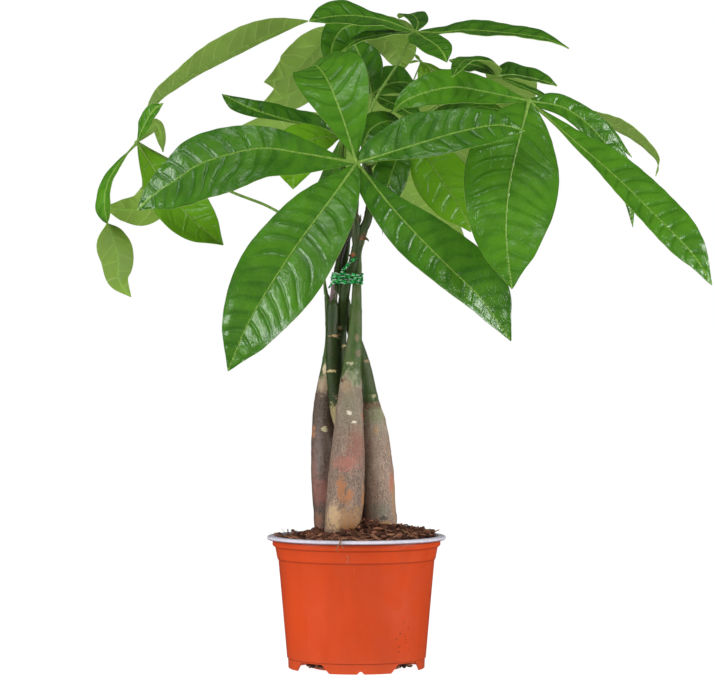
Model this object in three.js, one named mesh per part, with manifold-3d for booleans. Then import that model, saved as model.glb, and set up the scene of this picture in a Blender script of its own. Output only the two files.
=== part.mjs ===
// A potted money tree: five young trees twisted round each other in a two-tone plastic pot.
// Millimetres, +Z up. The plant's front faces -Y. The origin is the middle of the pot's underside.
import * as THREE from 'three';
import Module from 'manifold-3d';

const wasm = await Module();
wasm.setup();

// Driving dimensions of the pot
const LIP_RADIUS = 61.3;
const POT_HEIGHT = 90.4;
const LIP_HEIGHT = 2.6;
const BEAD_RADIUS = 57.6;
const COLLAR_TOP_RADIUS = 55.7;
const COLLAR_FOOT_RADIUS = 54.4;
const BODY_TOP_RADIUS = 53.5;
const BODY_FOOT_RADIUS = 47.6;
const FOOT_RADIUS = 46.7;
const FOOT_HEIGHT = 6.8;
const COLLAR_FOOT_Z = 75.4;
const BEAD_FOOT_Z = 83.6;
const WALL = 1.2;
const FLOOR_DISC_RADIUS = 30;
const FLOOR_RING_Z = 4;
const FLOOR_THICKNESS = 1.5;
const SEGMENTS = 36;
const POT_TURN = 3.5;

// The drainage cut-outs between the feet, and the small notch in each foot
const CUT_COUNT = 4;
const CUT_HEIGHT = 6;
const CUT_TOP_HALF = 9.6;
const CUT_FOOT_HALF = 15.6;
const CUT_INNER_RADIUS = 34;
const NOTCH_HEIGHT = 2.3;
const NOTCH_HALF = 3;
const NOTCH_INNER_RADIUS = 43;

// Soil
const GAP = 0.35;
const SOIL_EDGE_Z = 88.8;
const SOIL_RINGS = [54.2, 49, 41, 32, 22, 11];
const SOIL_RISE = 10.5;
const SOIL_TILT = 0.05;
const SOIL_LUMP = 0.9;
const SOIL_MOUND = { x: 5, y: -14, radius: 9, height: 6.5 };

// Foliage
const BLADE = 0.8;
const HUB_RADIUS = 1.9;
const PETIOLE_RADIUS = 1.05;
const WIDEST_AT = 1.23;
const BLADE_FULLNESS = 0.78;
const BLADE_END = 0.7;
const STATION_SPACING = 15;
const FOLD = 0.16;
const WAVE = 0.05;
const WAVE_COUNT = 2.5;

// The tie round the stems
const TIE = { x: -6.5, y: -1.2, z: 262.6, across: 11.7, deep: 10.2, thick: 1, height: 7.4 };

const MATERIALS = {
  pot: new THREE.MeshStandardMaterial({ color: 0xcf4a18, roughness: 0.42, metalness: 0 }),
  soil: new THREE.MeshStandardMaterial({ color: 0x3a241a, roughness: 0.95, metalness: 0 }),
  bark: new THREE.MeshStandardMaterial({ color: 0x7c6a58, roughness: 0.85, metalness: 0 }),
  foil: new THREE.MeshStandardMaterial({ color: 0x0c8a3a, roughness: 0.2, metalness: 0.9 }),
  leaf: new THREE.MeshStandardMaterial({ color: 0x3f8a26, roughness: 0.38, metalness: 0 }),
};

// Leaf points are given as a front view sees them: column and row in a picture 715 wide and
// 690 high, and the depth in millimetres, less than zero in front of the pot's axis.
const EYE = new THREE.Vector3(0.7, -2000, 221);
const VIEW_MIDDLE = { column: 357.5, row: 345 };
const FOCAL = 2915;

function seen([column, row, depth]) {
  const scale = (depth - EYE.y) / FOCAL;
  const x = EYE.x + (column - VIEW_MIDDLE.column) * scale;
  const z = EYE.z - (row - VIEW_MIDDLE.row) * scale;
  return new THREE.Vector3(x, depth, z);
}

// Stems: each point is x, y, z and the stem's radius there, from the end in the soil upwards
const TRUNKS = {
  trunk_front: [[
    [-12, -14, 52, 6], [-12.5, -17, 80, 8], [-11.8, -18, 94, 10.2], [-8.5, -19, 107, 12.7],
    [-6.4, -19, 136, 12.1], [-4.7, -18, 176, 9.2], [-3.2, -15, 203, 6.7], [-0.7, -10, 233, 4.5],
    [0.3, -4, 262, 3.1], [0.8, -0.8, 274, 2.9], [0.9, 1, 285, 2.8], [5.2, 3.6, 300, 2.6],
    [9.4, 7, 318, 2.5], [9, 10.4, 331, 2.4], [6, 13, 345, 2.2], [7, 17, 362, 1.8],
  ]],
  trunk_left: [[
    [-20, 5, 55, 6], [-21, 4, 98, 8], [-22.1, 6, 131, 8.9], [-22.6, 8, 158, 8.4],
    [-22.3, 7, 177, 7.4], [-21, 6.2, 193, 6], [-19.2, 7, 211, 4.2], [-18.8, 7, 226, 2.7],
    [-19.6, 6.8, 243, 2.1], [-20.4, 6.6, 256, 1.8],
  ]],
  trunk_front_left: [[
    [-5, 13, 55, 6], [-5, 12.5, 98, 7.8], [-6, 6.5, 150, 6.5], [-12.5, -4, 177, 5.6],
    [-16, -6.5, 203, 4.6], [-16.6, -8, 233, 4.1], [-16.3, -7.5, 247, 3.9], [-15.8, -6, 252, 2.7],
    [-14, -3, 266, 2.5], [-10.5, 2, 283, 2.4], [-4.4, 3, 299, 2.1], [-3.2, 3.5, 306, 1.8],
  ]],
  trunk_middle: [
    [
      [11, 20, 55, 6], [11, 20, 98, 8], [5, 17.5, 150, 6.8], [-6.2, 9, 178, 5.7],
      [-10.2, 2.2, 203, 4.5], [-10.6, -0.5, 233, 3.9], [-7.2, -5, 262, 3.4], [-3, -7.2, 274, 3.4],
      [0.3, -8, 288, 3.3], [2.8, -7, 297, 3.3], [7.4, -6, 306, 3], [9.4, -3, 319, 2.8],
      [9.4, 0.5, 335, 2.5], [5.8, 3, 352, 2.2], [4.6, 3.6, 362, 1.8],
    ],
    [[0.3, -8, 288, 2.9], [-0.4, -8, 299, 3.1], [-0.3, -8, 310.5, 2.5]],
  ],
  trunk_right: [[
    [18, 1, 55, 6], [17, 0, 98, 10.6], [16, 0, 107, 10.9], [14.6, 0, 139, 10.3],
    [11.6, 0.5, 166, 8.8], [8.2, 3, 183, 7], [4.4, 6, 207, 5.2], [-3.4, 6.6, 233, 3.9],
    [-7.6, 5.4, 250, 3.4], [-10.6, 3.4, 264, 3.1], [-10, 5.6, 274, 3], [-7.6, 9, 287, 3],
    [-7, 12, 305, 2.7], [-8, 16, 330, 2.4], [-9, 17, 340, 2.2], [-10, 19, 352, 1.8],
  ]],
};

// Leaflets: the points that the midrib passes after the hub, half the width in millimetres, where
// it is widest, and the way that the upper side faces, with "turn" for a twisted one's tip. Two
// widths are those on the right and on the left of the midrib, for an eye above the leaflet that
// looks towards its tip.
const LEAVES = {
  leaf_front: {
    root: [-0.3, -8, 312.1],
    petiole: [[356, 198, -26], [355.5, 182, -58]],
    hub: [357, 163, -95],
    leaflets: [
      { to: [[343.5, 120, -93], [335, 97, -88], [326.5, 78, -78], [317, 66, -62], [310, 67, -44]],
        half: [26, 20.5], widest: [1.35, 1.5], face: [0, -1, 0.35] },
      { to: [[300, 153, -103], [258, 148.5, -105], [205, 162, -101], [177, 179, -96],
        [152, 196, -90], [137, 210, -86]], half: [19.5, 30], widest: [1.35, 1.25],
        face: [0, -0.9, 0.5] },
      { to: [[330, 200, -112], [290, 255, -125], [250, 320, -120], [228, 371, -108]],
        half: [26, 30.5], widest: [1.1, 1.02], face: [-0.2, -1, 0.25] },
      { to: [[389, 204, -100], [418, 236, -102], [450, 268, -102], [482, 300, -97],
        [511, 341, -87]], half: [18, 24], widest: [0.75, 1.6], face: [0.25, -1, 0.35] },
      { to: [[398, 150, -106], [427, 141, -110], [462, 131, -110], [498, 125, -105],
        [526, 131, -97]], half: [15.6, 20.6], widest: [1.4, 0.66], face: [0, -0.9, 0.5] },
    ],
  },
  leaf_right: {
    root: [7.3, -1, 345.4],
    petiole: [[371, 163, -15], [390, 152, -24], [414, 141, -25], [460, 128, -40], [505, 112, -56]],
    hub: [529, 101, -60],
    leaflets: [
      { to: [[482, 91, -67], [455, 87, -74], [427, 92, -79], [405, 101, -81], [393, 112, -82]],
        half: [13.5, 14.5], face: [-0.1, -0.9, 0.5] },
      { to: [[521, 133, -75], [511, 175, -89], [506, 221, -101], [508, 259, -110],
        [512, 289, -116]], half: [31, 32], widest: [0.85, 1], face: [0.1, -1, 0.15] },
      { to: [[555, 124, -61], [580, 146, -66], [605, 167, -69], [630, 190, -73], [655, 215, -77],
        [680, 240, -80], [697, 260, -81], [712, 285, -82]], half: [14, 19], widest: [2, 1.4],
        face: [0.4, -0.85, 0.4] },
      { to: [[562, 107, -54], [590, 126, -50], [614, 156, -46], [628, 190, -44], [633, 227, -42]],
        half: 10, widest: 0.75, face: [0.3, -0.9, 0.5] },
      { to: [[553, 97, -46], [578, 109, -36], [604, 128, -30], [632, 157, -30]], half: 5.5,
        face: [0.3, -0.9, 0.6] },
      { to: [[562, 110, -34], [588, 115, -22], [612, 124, -14], [633, 136, -12], [649, 149, -12],
        [658, 161, -14], [656, 176, -18]], half: 10, face: [0.4, 0.35, 1] },
    ],
  },
  leaf_top: {
    root: [4.6, 3.6, 363],
    petiole: [[367, 122, 0], [378, 95, -4], [397, 65, -11]],
    hub: [415.6, 32, -20],
    leaflets: [
      { to: [[385, 20.5, -28], [360, 16, -35], [335, 16, -41], [309, 21, -46]], half: [16, 17],
        widest: [2, 1.23], face: [-0.1, -0.62, 0.8] },
      { to: [[440, 32.5, -22], [464, 30, -25], [493, 31.5, -28], [522, 34.5, -29],
        [546, 38.5, -30], [569, 48.5, -30]], half: 15.5, widest: 0.9, face: [0.1, -0.45, 1] },
      { to: [[425, 38, -33], [436, 45, -45], [443, 53, -53], [447, 62, -57]], half: [17, 10],
        face: [0.2, -0.85, 0.7] },
      { to: [[385, 34, -32], [358, 40, -38], [340, 52, -38]], half: 8, face: [0.1, -0.4, 1] },
      { to: [[418, 22, 0], [411, 14, 22], [399, 18, 44]], half: 9, face: [0.1, -0.7, 0.8] },
      { to: [[375, 24, -3], [346, 27, -4], [333, 44, -14], [330, 72, -22]], half: 11,
        face: [0.2, -1, 0.5] },
    ],
  },
  leaf_left: {
    root: [-21, 6.5, 256.6],
    petiole: [[316, 240, 4], [273, 209, -12], [223, 188, -28]],
    hub: [137, 143, -45],
    leaflets: [
      { to: [[124, 157, -54], [109, 180, -59], [104.5, 202, -61], [107.5, 222, -60],
        [113, 240, -58], [118, 258, -56], [119, 280, -54], [131, 297, -52]], half: 13,
        widest: 1.6, face: [-0.8, -0.6, 0.3], turn: [-0.5, 0.9, 0.1] },
      { to: [[153, 167, -48], [170, 192, -52], [190, 217, -58], [223, 245, -62]], half: 18.5,
        face: [0.1, -0.9, 0.5] },
      { to: [[152, 167, -32], [158, 191, -26], [144, 208, -26], [124, 210, -30], [103, 207, -34]],
        half: 12, face: [-0.2, 1, -0.3] },
      { to: [[143, 128, -55], [152, 112, -60], [163, 103, -60]], half: 7,
        face: [-0.6, -0.7, 0.3] },
      { to: [[148, 131, -36], [156, 124, -32], [160.5, 134, -32], [163, 152, -34]], half: 4,
        face: [-0.3, 0.9, -0.2] },
      { to: [[147, 119, -40], [158, 99, -36], [176, 84, -32], [200, 68, -26], [228, 53.5, -20],
        [255, 41, -13], [282, 29.5, -5], [308, 21, 2]], half: [15.5, 6], widest: [1.6, 1.2],
        face: [-0.45, 0.62, 0.62] },
    ],
  },
  leaf_inner_left: {
    root: [-9.7, 13.9, 341.2],
    petiole: [[342, 156, 10]],
    hub: [341, 138, 5],
    leaflets: [
      { to: [[322, 128, -2], [292, 121, -9], [264, 113, -13], [246, 106, -14], [222, 94, -10]],
        half: [10, 8], widest: [0.8, 4], face: [0, -0.85, 0.5] },
      { to: [[325, 137, -12], [305, 143, -25], [295, 162, -34], [293, 189, -38]], half: 17,
        widest: 1.5, face: [0, -0.9, 0.45] },
      { to: [[338, 115, 18], [332, 88, 30], [322, 62, 36]], half: 15, face: [0, -1, 0.3] },
      { to: [[335, 165, 14], [324, 205, 22], [312, 245, 24]], half: 11, face: [-0.2, -0.5, 0.5] },
    ],
  },
  leaf_upper_left: {
    root: [-10, 19, 352.9],
    petiole: [[348, 115, 34], [352, 65, 42]],
    hub: [352, 24, 46],
    leaflets: [
      { to: [[325, 40, 52], [306, 60, 56], [288, 76, 56], [264, 82, 52]], half: 17,
        face: [-0.5, 0.8, 0.4] },
      { to: [[334, 55, 62], [310, 80, 70], [287, 96, 72], [262, 104, 70]], half: 17,
        face: [-0.5, 0.8, 0.4] },
      { to: [[378, 32, 56], [396, 48, 64], [402, 72, 68]], half: 17, face: [0.4, 0.8, 0.5] },
      { to: [[350, 22, 80], [343, 48, 108], [336, 88, 116]], half: 16, face: [0, 0.8, 0.6] },
      { to: [[372, 20, 70], [395, 36, 95], [403, 70, 108]], half: 16, face: [0.3, 0.6, 0.7] },
    ],
  },
  leaf_inner_right: {
    root: [9.4, 12.4, 346.2],
    petiole: [[385, 148, 12]],
    hub: [408, 128, 10],
    leaflets: [
      { to: [[425, 155, 5], [445, 185, 0], [463, 213, -4], [471, 232, -5]], half: 20,
        face: [0.1, -0.95, 0.3] },
      { to: [[400, 150, -2], [391, 175, -14], [384, 200, -20], [379, 222, -22]], half: 12,
        face: [-0.1, -1, 0.2] },
      { to: [[440, 114, 0], [475, 107, -8], [507, 111, -12]], half: 12, face: [0, -0.5, 0.9] },
      { to: [[388, 121, -10], [370, 130, -24], [362, 149, -30]], half: 10, face: [0, -0.9, 0.5] },
      { to: [[432, 134, 38], [452, 152, 62], [462, 190, 74]], half: 17, face: [0.4, 0.6, 0.7] },
    ],
  },
  leaf_middle: {
    root: [7, 17, 362.5],
    petiole: [[370, 116, 18]],
    hub: [372, 95, 18],
    leaflets: [
      { to: [[386, 85, 20], [402, 82, 30], [418, 86, 42]], half: 15, face: [0, -0.85, 0.5] },
      { to: [[392, 103, 2], [410, 113, -10], [424, 118, -16]], half: 10, face: [0, -0.5, 0.85] },
      { to: [[367, 72, 26], [358, 52, 30], [352, 38, 28]], half: 13, face: [0, -1, 0.3] },
      { to: [[376, 92, 55], [382, 112, 84], [385, 150, 98]], half: 17, face: [0, 0.7, 0.7] },
    ],
  },
  leaf_upper_right: {
    root: [9.2, 16.2, 353.2],
    petiole: [[384, 140, 30], [410, 112, 44], [462, 88, 14]],
    hub: [498, 76, -15],
    leaflets: [
      { to: [[496, 69, -36], [481, 61, -54], [464, 61, -73], [452, 77, -98]], half: 7,
        face: [0, -0.3, 1] },
      { to: [[512, 74.5, -8], [530, 77.5, 2], [545, 81.5, 8], [557, 86, 10]], half: [7, 14],
        widest: 0.8, face: [0, -0.75, 0.8] },
      { to: [[515, 84, -22], [535, 92, -26], [553, 101, -28]], half: 5, face: [0, -0.4, 1] },
      { to: [[484, 68, 8], [466, 63, 20], [449, 60, 26]], half: 10, face: [0, -0.7, 0.7] },
      { to: [[506, 74, 25], [513, 92, 55], [514, 130, 72]], half: 18, face: [0.3, 0.6, 0.7] },
    ],
  },
  leaf_young: {
    root: [9.4, 15, 358.4],
    petiole: [[380, 124, 36], [405, 97, 63], [417, 72, 48]],
    hub: [421, 61.5, -15],
    slender: 0.5,
    leaflets: [
      { to: [[416, 61, -18], [410, 63, -20]], half: 1.6, face: [0, -0.5, 1] },
      { to: [[418, 58, -13], [415, 54, -11]], half: 1.3, face: [0, -0.5, 1] },
      { to: [[431, 66, -19], [442, 72, -22]], half: 2.2, face: [0, -0.6, 1] },
      { to: [[426, 71, -18], [429, 81, -20]], half: 2.4, face: [0.2, -1, 0.3] },
      { to: [[421, 71, -18], [419, 82, -20]], half: 2, face: [-0.2, -1, 0.3] },
    ],
  },
  leaf_back: {
    root: [-8.6, 20.2, 338.8],
    petiole: [[346, 145, 62]],
    hub: [352, 120, 95],
    leaflets: [
      { to: [[345, 165, 112], [333, 205, 118], [305, 250, 120], [275, 300, 116]], half: 14,
        face: [-0.2, 1, 0.35] },
      { to: [[390, 170, 114], [432, 222, 120], [472, 280, 114]], half: 18, face: [0.2, 1, 0.35] },
      { to: [[300, 127, 112], [250, 145, 118], [205, 178, 110]], half: 16, face: [0, 0.9, 0.5] },
      { to: [[400, 117, 112], [450, 122, 118], [505, 152, 110]], half: 16, face: [0, 0.9, 0.5] },
      { to: [[360, 86, 142], [364, 70, 165], [368, 86, 188]], half: 17, face: [0, 0.5, 1] },
    ],
  },
  leaf_back_right: {
    root: [7, 15.5, 340.6],
    petiole: [[388, 150, 40], [412, 124, 62]],
    hub: [455, 95, 74],
    leaflets: [
      { to: [[490, 112, 82], [514, 155, 90], [516, 215, 90]], half: 18, face: [0.4, 0.9, 0.3] },
      { to: [[448, 74, 96], [442, 72, 125], [440, 105, 150]], half: 16, face: [0, 0.6, 0.9] },
      { to: [[482, 84, 92], [506, 92, 118], [520, 130, 134]], half: 16, face: [0.4, 0.6, 0.7] },
    ],
  },
};

// Closed meshes
function closedMesh(positions, triangles) {
  const geometry = new THREE.BufferGeometry();
  geometry.setAttribute('position', new THREE.Float32BufferAttribute(positions, 3));
  geometry.setIndex(triangles);
  return geometry;
}

// Joins the vertices that share a place, so that the faces of a geometry meet
function welded(geometry) {
  const source = geometry.index ? geometry.toNonIndexed() : geometry;
  const place = source.getAttribute('position');
  const found = new Map();
  const positions = [];
  const corners = [];
  for (let i = 0; i < place.count; i += 1) {
    const point = [place.getX(i), place.getY(i), place.getZ(i)];
    const key = point.map((value) => Math.round(value * 1e4)).join(' ');
    if (!found.has(key)) {
      found.set(key, found.size);
      positions.push(...point);
    }
    corners.push(found.get(key));
  }
  const triangles = [];
  for (let i = 0; i < corners.length; i += 3) {
    const [a, b, c] = corners.slice(i, i + 3);
    if (a !== b && b !== c && c !== a) triangles.push(a, b, c);
  }
  return closedMesh(positions, triangles);
}

function solid(geometry) {
  const whole = welded(geometry);
  return new wasm.Manifold(new wasm.Mesh({
    numProp: 3,
    vertProperties: new Float32Array(whole.getAttribute('position').array),
    triVerts: new Uint32Array(whole.index.array),
  }));
}

function joined(geometries) {
  return geometries.map(solid).reduce((whole, piece) => whole.add(piece));
}

function named(name, shape, material) {
  const { vertProperties, triVerts } = shape.getMesh();
  const mesh = new THREE.Mesh(closedMesh(vertProperties, Array.from(triVerts)), material);
  mesh.name = name;
  return mesh;
}

function curveThrough(points) {
  return new THREE.CatmullRomCurve3(points, false, 'catmullrom', 0.5);
}

// Pot
function potProfile() {
  const lipFoot = POT_HEIGHT - LIP_HEIGHT;
  const lipMiddle = POT_HEIGHT - LIP_HEIGHT / 2;
  const ringTop = FLOOR_RING_Z + FLOOR_THICKNESS;
  return [
    [0, 0],
    [FLOOR_DISC_RADIUS, 0],
    [FLOOR_DISC_RADIUS + 3, FLOOR_RING_Z],
    [FOOT_RADIUS - WALL, FLOOR_RING_Z],
    [FOOT_RADIUS - WALL, 0],
    [FOOT_RADIUS, 0],
    [FOOT_RADIUS + 0.2, FOOT_HEIGHT],
    [BODY_FOOT_RADIUS, FOOT_HEIGHT + 0.5],
    [BODY_TOP_RADIUS, COLLAR_FOOT_Z - 1.6],
    [COLLAR_FOOT_RADIUS, COLLAR_FOOT_Z],
    [COLLAR_TOP_RADIUS, BEAD_FOOT_Z - 1],
    [BEAD_RADIUS, BEAD_FOOT_Z + 0.6],
    [BEAD_RADIUS, lipFoot],
    [LIP_RADIUS - 0.8, lipFoot],
    [LIP_RADIUS, lipMiddle],
    [LIP_RADIUS - 0.8, POT_HEIGHT],
    [BEAD_RADIUS - WALL, POT_HEIGHT],
    [COLLAR_TOP_RADIUS - WALL, BEAD_FOOT_Z - 1],
    [COLLAR_FOOT_RADIUS - WALL, COLLAR_FOOT_Z],
    [BODY_TOP_RADIUS - WALL, COLLAR_FOOT_Z - 1.6],
    [BODY_FOOT_RADIUS - WALL, ringTop],
    [FLOOR_DISC_RADIUS + 2, ringTop],
    [FLOOR_DISC_RADIUS - 1, FLOOR_THICKNESS],
    [0, FLOOR_THICKNESS],
  ];
}

// LatheGeometry turns about Y, so the profile is laid out in X and Y and then stood up
function turned(profile, segments) {
  const points = profile.map(([radius, height]) => new THREE.Vector2(radius, height));
  return new THREE.LatheGeometry(points, segments).rotateX(Math.PI / 2);
}

// A prism that points outwards from the axis, with its outline across it and upwards
function radialCutter(outline, innerRadius, degrees) {
  const shape = new THREE.Shape(outline.map(([across, up]) => new THREE.Vector2(across, up)));
  const depth = LIP_RADIUS - innerRadius;
  const cutter = new THREE.ExtrudeGeometry(shape, { depth, bevelEnabled: false });
  cutter.rotateX(Math.PI / 2);
  cutter.translate(0, -innerRadius, 0);
  return cutter.rotateZ(THREE.MathUtils.degToRad(degrees));
}

function potSolid() {
  const cutOutline = [
    [-CUT_FOOT_HALF, -1], [CUT_FOOT_HALF, -1], [CUT_TOP_HALF, CUT_HEIGHT],
    [-CUT_TOP_HALF, CUT_HEIGHT],
  ];
  const notchOutline = [[-NOTCH_HALF, -0.5], [NOTCH_HALF, -0.5], [0, NOTCH_HEIGHT]];
  let pot = solid(turned(potProfile(), SEGMENTS));
  for (let i = 0; i < CUT_COUNT; i += 1) {
    const turn = POT_TURN + (360 / CUT_COUNT) * i;
    pot = pot.subtract(solid(radialCutter(notchOutline, NOTCH_INNER_RADIUS, turn)));
    pot = pot.subtract(solid(radialCutter(cutOutline, CUT_INNER_RADIUS, turn + 45)));
  }
  return pot;
}

// Stems
function stemGeometry(points, sides, extra = 0) {
  const steps = Math.round(points.length * 1.5);
  const foot = (index) => (index === 0 ? extra : 0);
  const places = points.map(([x, y, z], index) => new THREE.Vector3(x, y, z - foot(index)));
  const curve = curveThrough(places);
  const radii = curveThrough(points.map((point) => new THREE.Vector3(point[3], 0, 0)));
  const stem = new THREE.CylinderGeometry(1, 1, 1, sides, steps);
  const place = stem.getAttribute('position');
  const across = new THREE.Vector3();
  const centre = new THREE.Vector3();
  for (let i = 0; i < place.count; i += 1) {
    const along = place.getY(i) + 0.5;
    const radius = radii.getPoint(along).x + extra;
    const heading = curve.getTangent(along);
    const right = new THREE.Vector3(1, 0, 0).addScaledVector(heading, -heading.x).normalize();
    const back = new THREE.Vector3().crossVectors(heading, right);
    curve.getPoint(along, centre);
    across.copy(right).multiplyScalar(place.getX(i)).addScaledVector(back, -place.getZ(i));
    centre.addScaledVector(across, radius);
    place.setXYZ(i, centre.x, centre.y, centre.z);
  }
  return stem;
}

// Soil
function soilTop(x, y) {
  const radius = Math.hypot(x, y);
  const slope = Math.max(0, 1 - radius / SOIL_RINGS[0]);
  const away = Math.hypot(x - SOIL_MOUND.x, y - SOIL_MOUND.y) / SOIL_MOUND.radius;
  const mound = SOIL_MOUND.height * Math.exp(-away * away);
  const lumps = Math.sin(x * 0.43 + 1) * Math.cos(y * 0.51) + Math.sin(x * 0.19 - y * 0.27);
  const level = SOIL_EDGE_Z + SOIL_TILT * x;
  return level + SOIL_RISE * slope * (2 - slope) * 0.75 + mound + lumps * SOIL_LUMP * slope;
}

function soilSolid(stems) {
  const ringTop = FLOOR_RING_Z + FLOOR_THICKNESS + GAP;
  const profile = [
    [0, FLOOR_THICKNESS + GAP],
    [FLOOR_DISC_RADIUS - 1.4, FLOOR_THICKNESS + GAP],
    [FLOOR_DISC_RADIUS + 1.6, ringTop],
    [BODY_FOOT_RADIUS - WALL - GAP, ringTop],
    [BODY_TOP_RADIUS - WALL - GAP, COLLAR_FOOT_Z - 1.5],
    [COLLAR_FOOT_RADIUS - WALL - GAP, COLLAR_FOOT_Z],
    [COLLAR_TOP_RADIUS - WALL - GAP, BEAD_FOOT_Z - 1],
    ...SOIL_RINGS.map((radius) => [radius, SOIL_EDGE_Z]),
    [0, SOIL_EDGE_Z],
  ];
  const heap = turned(profile, SEGMENTS);
  const place = heap.getAttribute('position');
  for (let i = 0; i < place.count; i += 1) {
    if (Math.abs(place.getZ(i) - SOIL_EDGE_Z) < 0.01) {
      place.setZ(i, soilTop(place.getX(i), place.getY(i)));
    }
  }
  return stems.reduce((soil, stem) => soil.subtract(solid(stem)), solid(heap));
}

// Foliage
function halfWidth(along, half, widest = WIDEST_AT) {
  const swell = Math.sin(Math.PI * along ** widest);
  return Math.max(BLADE_END, half * Math.max(0, swell) ** BLADE_FULLNESS);
}

// The values for a leaflet's two sides: the same one twice, unless it gives both
function pair(value) {
  return Array.isArray(value) ? value : [value, value];
}

// A closed thin blade along its midrib, split into the same triangles on both faces
function bladeGeometry(hub, leaflet) {
  const curve = curveThrough([hub, ...leaflet.to.map(seen)]);
  const rows = Math.max(3, Math.round(curve.getLength() / STATION_SPACING));
  const halves = pair(leaflet.half);
  const widest = pair(leaflet.widest);
  const columns = Math.max(...halves) > 12 ? 4 : 2;
  const facing = new THREE.Vector3(...leaflet.face);
  const turn = new THREE.Vector3(...(leaflet.turn ?? leaflet.face));
  const positions = [[], []];
  for (let i = 0; i <= rows; i += 1) {
    const along = i / rows;
    const centre = curve.getPointAt(along);
    const heading = curve.getTangentAt(along);
    const up = facing.clone().lerp(turn, THREE.MathUtils.smoothstep(along, 0.42, 0.74));
    up.addScaledVector(heading, -up.dot(heading)).normalize();
    const side = new THREE.Vector3().crossVectors(up, heading);
    for (let j = 0; j <= columns; j += 1) {
      const out = (j / columns) * 2 - 1;
      const hand = out > 0 ? 1 : 0;
      const half = halfWidth(along, halves[hand], widest[hand]);
      const ripple = WAVE * Math.sin(2 * Math.PI * WAVE_COUNT * along + 2 * Math.sign(out));
      const lift = half * (FOLD * Math.abs(out) + ripple * out * out);
      for (const face of [0, 1]) {
        const point = centre.clone().addScaledVector(side, half * out);
        point.addScaledVector(up, lift + BLADE * (0.5 - face));
        positions[face].push(point.x, point.y, point.z);
      }
    }
  }
  return closedMesh(positions.flat(), bladeTriangles(rows, columns));
}

function bladeTriangles(rows, columns) {
  const under = (rows + 1) * (columns + 1);
  const top = (i, j) => i * (columns + 1) + j;
  const triangles = [];
  const quad = (a, b, c, d) => triangles.push(a, b, c, a, c, d);
  for (let i = 0; i < rows; i += 1) {
    for (let j = 0; j < columns; j += 1) {
      const [a, b, c, d] = [top(i, j), top(i + 1, j), top(i + 1, j + 1), top(i, j + 1)];
      triangles.push(a, b, c, a, c, d);
      triangles.push(under + a, under + c, under + b, under + a, under + d, under + c);
    }
    const [a, b] = [top(i, 0), top(i + 1, 0)];
    const [c, d] = [top(i, columns), top(i + 1, columns)];
    quad(a, under + a, under + b, b);
    quad(c, d, under + d, under + c);
  }
  for (let j = 0; j < columns; j += 1) {
    const [a, b] = [top(0, j), top(0, j + 1)];
    const [c, d] = [top(rows, j), top(rows, j + 1)];
    quad(a, b, under + b, under + a);
    quad(c, under + c, under + d, d);
  }
  return triangles;
}

function petioleGeometry(points, radius) {
  const route = curveThrough(points);
  const steps = Math.max(3, Math.round(route.getLength() / STATION_SPACING));
  const section = new THREE.Shape().absarc(0, 0, radius, 0, Math.PI * 2, false);
  return new THREE.ExtrudeGeometry(section, {
    steps, curveSegments: 3, bevelEnabled: false, extrudePath: route,
  });
}

function leafSolid({ root, petiole, hub, leaflets, slender = 1 }) {
  const middle = seen(hub);
  const knob = new THREE.OctahedronGeometry(HUB_RADIUS * slender, 1);
  knob.translate(middle.x, middle.y, middle.z);
  const route = [new THREE.Vector3(...root), ...petiole.map(seen), middle];
  const stalk = petioleGeometry(route, PETIOLE_RADIUS * slender);
  return joined([knob, stalk, ...leaflets.map((leaflet) => bladeGeometry(middle, leaflet))]);
}

// Tie
function tieSolid() {
  const band = new THREE.Shape();
  band.absellipse(0, 0, TIE.across + TIE.thick, TIE.deep + TIE.thick, 0, Math.PI * 2);
  const inside = new THREE.Path();
  inside.absellipse(0, 0, TIE.across, TIE.deep, 0, Math.PI * 2, true);
  band.holes.push(inside);
  const settings = { depth: TIE.height, curveSegments: 24, bevelEnabled: false };
  const ring = new THREE.ExtrudeGeometry(band, settings).translate(TIE.x, TIE.y, TIE.z);
  const tail = petioleGeometry([[341, 273, -11], [346, 266.5, -12.8], [356.5, 257.5, -13.6]]
    .map(seen), 0.9);
  return joined([ring, tail]);
}

// The whole plant
const STEM_SIDES = 10;
const moneyTree = new THREE.Group();
const stems = Object.entries(TRUNKS);
const holes = stems.map(([, parts]) => stemGeometry(parts[0], STEM_SIDES, GAP));

moneyTree.add(named('pot', potSolid(), MATERIALS.pot));
moneyTree.add(named('soil', soilSolid(holes), MATERIALS.soil));
for (const [name, parts] of stems) {
  const wood = joined(parts.map((points) => stemGeometry(points, STEM_SIDES)));
  moneyTree.add(named(name, wood, MATERIALS.bark));
}
moneyTree.add(named('tie', tieSolid(), MATERIALS.foil));
for (const [name, leaf] of Object.entries(LEAVES)) {
  moneyTree.add(named(name, leafSolid(leaf), MATERIALS.leaf));
}

export default moneyTree;
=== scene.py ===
"""A potted money tree: five twisted stems tied with foil, palmate leaves and a two-tone pot."""

import math
import random

import bmesh
import bpy
import numpy as np
from mathutils import Matrix, Vector, noise


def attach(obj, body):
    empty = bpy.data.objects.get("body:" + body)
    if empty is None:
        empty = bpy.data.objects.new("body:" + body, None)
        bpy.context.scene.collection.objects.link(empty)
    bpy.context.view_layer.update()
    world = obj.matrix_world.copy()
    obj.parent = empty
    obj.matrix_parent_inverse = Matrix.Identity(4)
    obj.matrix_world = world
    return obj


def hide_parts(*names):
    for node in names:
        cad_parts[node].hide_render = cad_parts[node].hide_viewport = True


bl_info = {
    "name": "Potted Money Tree",
    "version": (1, 0, 0),
    "blender": (4, 5, 0),
    "location": "View3D > Sidebar > Money Tree",
    "description": "Builds a potted money tree with twisted stems, a foil tie and palmate leaves",
    "category": "Object",
}

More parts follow.
